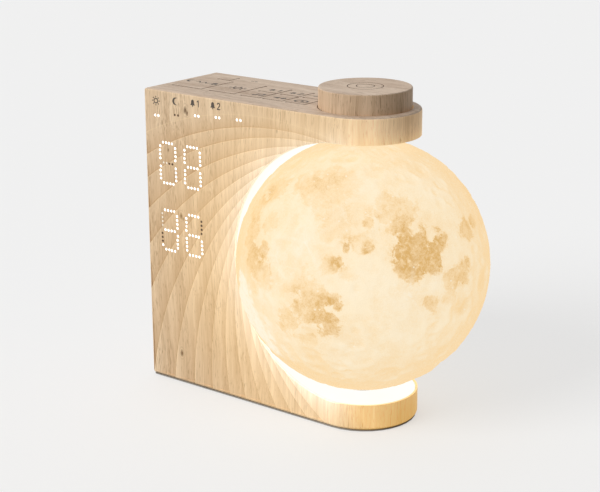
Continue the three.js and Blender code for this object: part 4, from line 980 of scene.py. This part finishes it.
def make_key(name, corners):
    """A key's flap, with its hinge line eased below, and the post over its switch."""
    a, b, c = corners
    post_radius, post_foot, eased_end = 1.1, CEILING - 2.4, TOP - 1.2
    outline = [
        (CEILING, SLIT, 0.16), (eased_end, SLIT, HINGE_GAP),
        (TOP - GROOVE, SLIT, HINGE_GAP), (TOP, SLIT + GROOVE, HINGE_GAP),
    ]
    flap = workpiece(name + "_flap", loft([
        [(x, y, z) for x, y in moved_in(corners, (slit, slit, gap))] for z, slit, gap in outline
    ]))
    post = [(a[i] + c[i]) / 4 + b[i] / 2 for i in (0, 1)]
    join(flap, upright(circle(*post, post_radius, 16), post_foot, eased_end))
    cut(flap, together(slit_ends(corners, SLIT_END + HINGE_GAP)))
    finished(
        flap, [OAK_TOP, SCORCHED_AND_SHADE], lambda centre, normal: OAK_TOP if normal.z > FLAT else SCORCHED_AND_SHADE,
        body=name, slot="oak_top", stands_for=(name,),
    )


# Moon
# Patches are given by their direction round the moon and above its middle, radius in degrees, and strength

PLAINS = [
    (-37.4, 38, 9.7, .28), (-42.8, 42.9, 5.7, .18), (-30.8, 38.7, 5.7, .2), (-28.7, 21, 9.7, .8),
    (-35, 19.5, 5.7, .75), (-17.6, 22.7, 5.1, .75), (-23.2, 16.1, 6.3, .7), (-31.1, 11.3, 5.1, .55),
    (-36.6, 14.5, 4, .5), (4.7, 25.2, 5.5, .75), (11.8, 26.4, 3.4, .6), (-5.6, 7.5, 6.3, .5),
    (-12.2, 4.6, 5.1, .42), (-1.3, 10.9, 4, .45), (-24.2, -3.1, 4.3, .6), (-64.9, 16.8, 2.7, .8),
    (-61.4, 23.2, 2, .7), (-51.2, 22.9, 2.3, .85), (-55.2, 24.4, 4.8, .36), (-69.2, 15.4, 3.9, .38),
    (-59.3, 12.9, 3.9, .28), (-89.3, 49.6, 8.5, .2), (-73.4, 43.5, 9.1, .22), (-97.8, 51.3, 5.1, .22),
    (-79.7, 55.5, 5.7, .18), (-66.3, 51.5, 6.8, .17), (-117.1, 43.6, 6.8, .55), (-124.1, 31.5, 6.3, .55),
    (-119, 19.5, 6.8, .52), (-104.3, 5.3, 7.4, .5), (-112, 12.3, 5.7, .44), (-68.8, -8.4, 5.9, .66),
    (-67.5, 0.7, 4.1, .55), (-64.3, -2.3, 3, .66), (-68, -13.2, 4.8, .55), (-75.3, 2.1, 6.3, .34),
    (-88, -12.1, 6.8, .4), (-78.9, -5.1, 6.8, .34), (-91.9, -14.9, 4.1, .34), (-79.5, -20.3, 3.9, .26),
    (-50.4, 34.6, 3, .46), (-33.8, 27, 3.4, .55), (-29.2, 67.2, 6.8, .18), (-13.6, -1.7, 4.1, .22),
    (-85.3, 9.2, 8, .22), (-67.6, 31.4, 6.8, .26), (-105.9, 28.4, 4.5, .34), (-105.1, 16.1, 4.6, .6),
    (40, 30, 14, .4), (75, 12, 18, .45), (120, 35, 16, .4), (160, -5, 12, .5),
    (195, 24, 15, .4), (95, -28, 12, .35), (30, -20, 9, .4), (150, -35, 10, .3),
]
RAYS = [
    (-81.3, 23.6, 8.5, .8), (-94.8, 16.1, 6.3, .7), (-47.7, 7.7, 12.5, .45), (-35.9, 2.8, 6.8, .4),
    (-67.3, 36.9, 4.5, .4), (-59.5, -24.7, 13.6, .35), (-102.5, -4.4, 6.8, .9), (-21.7, 6.3, 4.5, .6),
    (-52.7, 51.8, 8, .35), (-1.5, 47.5, 10.2, .35), (-35.4, -10.9, 10.2, .3), (-59.1, 5.6, 5.7, .4),
    (100, 10, 7, .6), (180, 30, 9, .5), (60, -15, 8, .4),
]
PALE_GROUND = [
    (-121, -5, 4.5, .9), (-118.5, -14, 5.5, .9), (-117, -23, 6, .9), (-112, -31, 5, .8),
    (-107, -19, 5, .5), (-101, -34, 5, .35), (-97, -24, 5, .2), (-126, -16, 6, .9),
]
RAY_CRATERS = [
    (-81.5, 23.8, 9, .9), (-96, 15, 6, .8), (-34, 3, 7, .7), (-60, -24, 8, .5),
    (150, 20, 9, .8),
]


def towards(turn, rise):
    t, e = math.radians(turn), math.radians(rise)
    return np.array([math.cos(e) * math.cos(t), math.cos(e) * math.sin(t), math.sin(e)])


def apart(directions, middle):
    """Degrees from each direction to the middle."""
    return np.degrees(np.arccos(np.clip(directions @ middle, -1, 1)))


def patches(directions, table, wander):
    """How strong the patches are at each direction, and how far inside one it lies: 0 on its shore, 1 in its middle."""
    amount = np.zeros(len(directions))
    inside = np.full(len(directions), -1.0)
    for turn, rise, size, strength in table:
        angle = apart(directions, towards(turn, rise))
        edge = np.clip((2.0 - angle / size + wander) / 0.9, 0, 1)
        edge = edge * edge * (3 - 2 * edge)
        amount = 1 - (1 - amount) * (1 - strength * edge)
        inside = np.maximum(inside, 1.05 - angle / size)
    return amount, inside


def ray_streaks(directions):
    """Bright streaks thrown out round the young craters."""
    amount = np.zeros(len(directions))
    for number, (turn, rise, reach, strength) in enumerate(RAY_CRATERS):
        middle = towards(turn, rise)
        east = np.cross([0, 0, 1], middle)
        east /= np.linalg.norm(east)
        north = np.cross(middle, east)
        angle = apart(directions, middle)
        around = np.arctan2(directions @ north, directions @ east)
        comb = sum(np.sin(around * count + number + count) for count in (5, 8, 13, 19)) / 4
        streak = np.clip(comb * 1.6 + 0.1, 0, 1) * np.exp(-angle / reach)
        amount = np.maximum(amount, strength * np.maximum(streak, np.exp(-(angle / 1.3) ** 2)))
    return amount


def crater_field(directions):
    """Height in millimetres of the bowls and their rims."""
    chance = np.random.default_rng(7)
    height = np.zeros(len(directions))
    for _ in range(CRATERS):
        centre = chance.normal(size=3)
        centre /= np.linalg.norm(centre)
        size = min(SMALLEST_CRATER * (1 - chance.random()) ** -0.42, LARGEST_CRATER)
        found = np.nonzero(directions @ centre > math.cos(math.radians(size * 1.8)))[0]
        share = apart(directions[found], centre) / size
        deep = 0.16 * size ** 0.7
        bowl = np.where(share < 1, deep * (share ** 2 - 1), 0.0)
        rim = 0.42 * deep * np.exp(-((share - 1.0) / 0.22) ** 2)
        height[found] += bowl + rim
    return height


def rough_field(directions, scale, seed):
    return np.array([noise.fractal(Vector(d) * scale + Vector((seed, 0, 0)), 0.7, 2.1, 4) for d in directions])


def grid(rises, turns):
    """Directions row by row, each row at one rise above the moon's middle."""
    rise, turn = np.meshgrid(np.radians(rises), np.radians(turns), indexing="ij")
    return np.stack([np.cos(rise) * np.cos(turn), np.cos(rise) * np.sin(turn), np.sin(rise)], -1).reshape(-1, 3)


def make_moon(across=380, down=190):
    """A thin shell, open at the neck: relief outside, smooth inside."""
    lowest = -90 + math.degrees(math.asin(MOON_NECK / MOON_RADIUS))
    turns = np.linspace(0, 360, across, endpoint=False)
    directions = np.vstack([[0, 0, 1.0], grid(np.linspace(90, lowest, down + 1)[1:], turns)])
    broad = rough_field(directions, 3.2, 3.0)
    wrinkle = rough_field(directions, 17.0, 9.0)
    wander = 0.34 * broad + 0.22 * wrinkle
    plains, shores = patches(directions, PLAINS, wander)
    rays = np.maximum(0.5 * patches(directions, RAYS, wander - 0.7)[0], ray_streaks(directions))
    rays = np.maximum(rays, patches(directions, PALE_GROUND, 1.7 * wander)[0])
    relief = crater_field(directions) * (1 - 0.6 * plains) + 0.16 * wrinkle * (1 - 0.5 * plains) + 0.12 * broad
    settle = np.clip((directions[:, 2] + 0.985) / 0.02, 0, 1)
    relief = np.clip(relief * settle, -1.5, 0.45)
    outer = directions * (MOON_RADIUS - MOON_RELIEF + relief)[:, None]
    inner_rises = np.linspace(lowest, 90, 25)[:-1]
    inner = np.vstack([grid(inner_rises, turns), [0, 0, 1.0]]) * MOON_INSIDE
    points = np.vstack([outer, inner]) + np.array(MOON_CENTRE)
    last = len(points) - 1
    rows = [[0] * across, *[range(start, start + across) for start in range(1, last, across)], [last] * across]
    faces = [(face[0], *face[:0:-1]) for face in skin(rows)]
    mesh = bpy.data.meshes.new("moon_relief")
    mesh.from_pydata(points.tolist(), [], faces)
    piece = placed("moon_relief", mesh)
    for name, values in zip(MOON_FIELDS, (plains, shores, rays, relief)):
        attribute = mesh.attributes.new(name, "FLOAT", "POINT")
        attribute.data.foreach_set("value", np.concatenate([values, np.zeros(len(inner))]).astype(np.float32))
    finished(piece, [MOON], slot="moon", stands_for=("moon_shell",), angle=80)


# Dot lamps

def lamp_pin(x, z, front, head):
    """A light pin with a domed lens on its front."""
    r = DOT_RADIUS - LENS_PLAY
    outline = [
        (0.0, 1.6), (r, 1.6), (r, LENS_DEPTH), (head, LENS_DEPTH), (head, 0.08), (head * 0.72, 0.02), (0.0, 0.0),
    ]
    return turned([(radius, front + deep) for radius, deep in outline], 12, (x, z), "Y")


def make_lamps():
    """Light pins of the dots, one piece for each of the three states."""
    front = -HALF + LENS_PLAY
    # The unlit dots take the dark burnt oak finish: painted shade where no light comes through.
    kinds = {"lit": (LENS_RADIUS, LAMP), "dim": (UNLIT_RADIUS, DIM_LAMP), "dark": (UNLIT_RADIUS, SCORCHED_AND_SHADE)}
    for state, (head, finish) in kinds.items():
        places = DOTS_BY_STATE[state]
        pins = [lamp_pin(x, z, front + carved_depth(x, z), head - LENS_PLAY) for x, z in places]
        pins = workpiece("display_dots_" + state, together(pins))
        finished(pins, [finish], slot="oak" if state == "dark" else "diffuser")


def carved_depth(x, z):
    """How deep the front lies at a point."""
    if not (LEFT + BLADE_MARGIN < x < 0 and UNDERSIDE + BLADE_MARGIN < z < TOP - BLADE_MARGIN):
        return 0.0
    depth = BLADE_DEPTH
    for i in range(BLADES):
        turn, (u, v) = blade_centre(i)
        away = math.hypot(x - u, z - v)
        if i == 0 and away > BLADE_RADIUS - BLADE_LAND:
            return 0.0
        inner_side = math.cos(turn) * (z - v) - math.sin(turn) * (x - u) < 0
        if inner_side and away < BLADE_RADIUS:
            depth = min(depth, (BLADE_RADIUS - away) * BLADE_SLOPE)
    return depth


# Printed signs: lists of convex outlines, each sign from -1 to 1 and drawn with lines of one width

def bar(p, q, width):
    (x0, y0), (x1, y1) = p, q
    share = width / 2 / math.hypot(x1 - x0, y1 - y0)
    nx, ny = -(y1 - y0) * share, (x1 - x0) * share
    return [(x0 - nx, y0 - ny), (x1 - nx, y1 - ny), (x1 + nx, y1 + ny), (x0 + nx, y0 + ny)]


def stroke(points, width):
    bars = [bar(p, q, width) for p, q in zip(points, points[1:])]
    return bars + [circle(*p, width / 2, 8) for p in points]


def hoop(u, v, radius, width, start=0, end=360, steps=24):
    outer = arc(u, v, radius + width / 2, start, end, steps)
    inner = arc(u, v, radius - width / 2, start, end, steps)
    return [[inner[i], outer[i], outer[i + 1], inner[i + 1]] for i in range(steps)]


def sign_sun(width):
    rays = zip(circle(0, 0, 0.72, 8), circle(0, 0, 1.0, 8))
    return hoop(0, 0, 0.48, width) + [bar(near, far, width) for near, far in rays]


def sign_crescent(_):
    outer, inner = arc(0, 0, 0.84, 60, 300, 18), arc(0.34, 0, 0.72, 78, 282, 18)
    return [[outer[i], outer[i + 1], inner[i + 1], inner[i]] for i in range(18)]


def sign_bell(_):
    return [
        [(-0.72, -0.55), (0.72, -0.55), (0.5, -0.2), (-0.5, -0.2)],
        [(-0.5, -0.2), (0.5, -0.2), (0.42, 0.35), (-0.42, 0.35)],
        arc(0, 0.35, 0.42, 0, 180, 10), circle(0, -0.72, 0.18, 10),
    ]


def sign_one(width):
    return stroke([(-0.3, 0.5), (0.1, 0.85), (0.1, -0.85)], width)


def sign_two(width):
    hook = arc(0, 0.4, 0.45, 160, 0, 4) + arc(0, 0.4, 0.45, -35, 0, 1)[:1]
    return stroke(hook + [(-0.45, -0.85), (0.5, -0.85)], width)


def sign_note(width):
    heads = [circle(-0.45, -0.55, 0.3, 14), circle(0.5, -0.4, 0.3, 14)]
    return heads + stroke([(-0.18, -0.5), (-0.18, 0.6), (0.77, 0.78), (0.77, -0.4)], width)


def sign_horn(width):
    box = [(-0.9, -0.25), (-0.5, -0.25), (-0.5, 0.25), (-0.9, 0.25)]
    cone = [(-0.5, -0.25), (0.0, -0.65), (0.0, 0.65), (-0.5, 0.25)]
    return [box, cone] + hoop(0.05, 0, 0.45, width, -50, 50, 8) + hoop(0.05, 0, 0.8, width, -50, 50, 10)


def sign_clock(width):
    return hoop(0, 0, 0.84, width) + stroke([(0, 0.48), (0, 0), (0.36, -0.12)], width)


def sign_up_down(width):
    strokes = ([(-0.8, 0), (-0.2, 0)], [(0.2, 0), (0.8, 0)], [(0.5, -0.3), (0.5, 0.3)])
    return [shape for points in strokes for shape in stroke(points, width)]


def sign_wave(width):
    return stroke([(i / 6 - 1, 0.32 * math.sin(math.pi * i / 3)) for i in range(13)], width)


# Each sign with its size, its middle and its stretch along X
TOP_SIGNS = {
    "key_wide": [
        (sign_crescent, 6.4, -129.0, 0.6, 1.3), (sign_wave, 9.6, -120.0, 0.6, 1.0), (sign_bell, 6.2, -110.8, 0.6, 1.3),
    ],
    "key_mid": [(sign_sun, 7.8, -91.4, -0.9, 1.6)],
    "key_front_left": [(sign_note, 6.2, -69.2, -8.9, 1.5)],
    "key_front_middle": [(sign_horn, 6.2, -53.2, -9.4, 1.5)],
    "key_front_right": [(sign_clock, 6.6, -37.0, -9.9, 1.5)],
    "key_rear_left": [(sign_bell, 5.0, -71.2, 6.6, 1.3), (sign_one, 4.6, -65.8, 6.6, 1.0)],
    "key_rear_middle": [(sign_bell, 5.0, -55.6, 6.4, 1.3), (sign_two, 4.6, -50.2, 6.4, 1.0)],
    "key_rear_right": [(sign_up_down, 6.6, -37.0, 6.0, 1.3)],
}
CORNER_SIGN = [(sign_up_down, 5.4, -96.8, 20.6, 1.0)]
FRONT_SIGNS = [
    (sign_sun, 5.6, -128.6, 172.9, 1.1), (sign_crescent, 5.4, -112.9, 174.3, 1.1), (sign_bell, 5.0, -99.6, 175.0, 1.0),
    (sign_one, 4.2, -95.4, 175.0, 1.0), (sign_bell, 5.0, -84.2, 175.4, 1.0), (sign_two, 4.2, -79.8, 175.4, 1.0),
]


def drawn(signs, width):
    """Outlines of signs in their places, with lines of the given width."""
    return [
        [(u * size / 2 * stretch + x, v * size / 2 + y) for u, v in outline]
        for sign, size, x, y, stretch in signs for outline in sign(2 * width / size)
    ]


def kept_side(outline, a, c, right):
    """The part of a convex outline on one side of the line from a to c."""
    def side(p):
        value = (c[0] - a[0]) * (p[1] - a[1]) - (c[1] - a[1]) * (p[0] - a[0])
        return -value if right else value

    out = []
    for p, q in zip(outline, outline[1:] + outline[:1]):
        sp, sq = side(p), side(q)
        if sp >= 0:
            out.append(p)
        if (sp > 0 > sq) or (sp < 0 < sq):
            t = sp / (sp - sq)
            out.append((p[0] + (q[0] - p[0]) * t, p[1] + (q[1] - p[1]) * t))
    return out if len(out) > 2 else None


def ink_height(number):
    """Height of a printed shape, a hair more or less than that of its neighbours."""
    return 0.02 + 0.0006 * (number % 7)


def print_on_top(name, outlines, body):
    outlines = [outline for outline in outlines if outline]
    if outlines:
        shapes = [upright(outline, TOP - 0.01, TOP + ink_height(i)) for i, outline in enumerate(outlines)]
        finished(workpiece(name, together(shapes)), [INK], body=body, slot="black_plastic")


def make_signs():
    """Signs on the keys, split along the line that each key bends about, and signs on the front."""
    for key, signs in TOP_SIGNS.items():
        a, _, c = KEYS[key]
        outlines = drawn(signs, 0.85)
        print_on_top(key + "_sign", [kept_side(outline, a, c, True) for outline in outlines], key)
        print_on_top(key + "_sign_fixed", [kept_side(outline, a, c, False) for outline in outlines], "root")
    print_on_top("corner_sign", drawn(CORNER_SIGN, 0.7), "root")
    front = drawn(FRONT_SIGNS, 0.62)
    shapes = [through(outline, -HALF - ink_height(i), -HALF + 0.01) for i, outline in enumerate(front)]
    finished(workpiece("front_signs", together(shapes)), [INK], slot="black_plastic")


# Screws and inlet on the back

def make_screw(name, x, z):
    """A cross-head screw, its head just under the cover's face."""
    y = HALF - SEAT
    outline = [(0, 0), (1.5, 0), (2, 0.25), (2.2, 0.6), (2.2, 1.3), (1.1, 1.3), (1.1, 8.3), (0, 8.8)]
    profile = [(radius, y - deep) for radius, deep in outline]
    screw = workpiece(name + "_head", turned(profile, 24, (x, z), "Y"))
    for u, v in ((1.3, 0.24), (0.24, 1.3)):
        cut(screw, block(x - u, x + u, y - 0.7, y + OVER, z - v, z + v))
    finished(screw, [STEEL], slot="steel", stands_for=(name,))


def make_inlet():
    """A thin steel shell with a tongue of contacts in it."""
    x, z = INLET
    end, wall, half_tongue = 24.25, 0.35, 2.8
    shell = workpiece("power_inlet_shell", through(lying_slot(2.9, 1.7), end, HALF - SEAT))
    cut(shell, through(lying_slot(2.9, 1.7 - wall), end + 0.8, HALF + OVER))
    join(shell, block(x - half_tongue, x + half_tongue, end + wall, HALF - 1.2, z - wall, z + wall))
    finished(shell, [STEEL], slot="steel", stands_for=("power_inlet",))


# Inner pieces keep their solids and take their finishes

INNER = {
    WHITE: ("light_frame", "ring_led_strip", "moon_collar", "moon_led_board"),
    BLACK: (
        "digit_mask", "indicator_mask", "collar_foot", "cell_holder", "speaker_frame", "encoder_plunger",
        "moon_lead", "speaker_lead",
    ),
    PAD: ("base_pad",), BOARD: ("display_board", "key_board", "main_board", "encoder_board"),
    RIBBON: ("display_ribbon", "key_ribbon", "encoder_ribbon"), BRASS: ("encoder_nut",), PAPER: ("speaker_cone",),
    MAGNET: ("speaker_magnet",),
    STEEL: ("encoder_shaft", "encoder_case", "coin_cell", *[name for name in nodes if "screw" in name]),
}


def dress_inner():
    for finish, names in INNER.items():
        for name in names:
            for slot in nodes[name].material_slots:
                slot.material = finish


# Stage

def floor_finish():
    """Pale paper: half of what a camera, mirror or glass sees of it is even white, the rest takes the shadow."""
    made, tree, shader = material("floor_paper", {
        "Base Color": grey(0.36), "Roughness": 1.0, "Specular IOR Level": 0.0, "Emission Strength": 1.0,
    })
    rays = put(tree, "ShaderNodeLightPath").outputs
    seen, glossy, through_glass = [Level(rays[f"Is {kind} Ray"]) for kind in ("Camera", "Glossy", "Transmission")]
    seen = seen.worked("MAXIMUM", glossy).worked("MAXIMUM", through_glass)
    feed(shader.inputs["Emission Color"], mixed(seen, grey(0), grey(0.54)))
    return made


def make_stage():
    """A wide round floor, an even studio sky that is brighter on one side, and one soft lamp."""
    mesh = bpy.data.meshes.new("floor")
    mesh.from_pydata([(x, y, -0.0002) for x, y in circle(0, 0, 4.5, 64)], [], [tuple(range(64))])
    floor = placed("floor", mesh)
    mesh.materials.append(floor_finish())

    world = bpy.data.worlds.new("studio")
    bpy.context.scene.world = world
    world.use_nodes = True
    tree = world.node_tree
    way = level(tree, "ShaderNodeTexCoord", output="Generated")
    bright_side = Vector((-0.352, 0.057, 0.015)).normalized()
    facing = level(tree, "ShaderNodeVectorMath", {0: way, 1: bright_side}, "Value", operation="DOT_PRODUCT")
    seen = level(tree, "ShaderNodeLightPath", output="Is Camera Ray")
    background = tree.nodes["Background"].inputs
    feed(background["Color"], mixed(seen, ranged(facing, -1.0, 1.0, 0.1, 1.14), grey(0.871)))
    background["Strength"].default_value = 1.0

    sun = bpy.data.lights.new("key_lamp", "SUN")
    sun.energy = 1.75
    sun.angle = math.radians(34)
    sun.color = (1.0, 0.995, 0.985)
    lamp = placed("key_lamp", sun)
    lamp.rotation_euler = Vector((-0.25, -0.80, 0.51)).to_track_quat("Z", "Y").to_euler()


def make_camera():
    """The photograph's view, fitted to the body's corners, the knob, the moon and the dots."""
    camera = bpy.data.cameras.new("camera")
    camera.lens = 92.88
    camera.sensor_width = 36
    camera.clip_end = 20
    holder = placed("camera", camera)
    right = (0.78384856, 0.62093085, -0.00512966)
    up = (-0.17299235, 0.2263005, 0.95857276)
    back = (0.59636824, -0.75048848, 0.28480161)
    place = (0.492528, -0.678133, 0.348940)
    holder.matrix_world = Matrix([
        (right[i], up[i], back[i], place[i]) for i in range(3)
    ] + [(0, 0, 0, 1)])
    bpy.context.scene.camera = holder


make_camera()
make_stage()
dress_inner()
make_housing()
make_rear_cover()
make_ring_diffuser()
make_knob()
for key_name, key_corners in KEYS.items():
    make_key(key_name, key_corners)
make_moon()
make_lamps()
make_signs()
for number, (screw_x, screw_z) in enumerate(COVER_SCREWS):
    make_screw(f"cover_screw_{number + 1}", screw_x, screw_z)
make_inlet()

bpy.context.scene.view_settings.view_transform = "Standard"
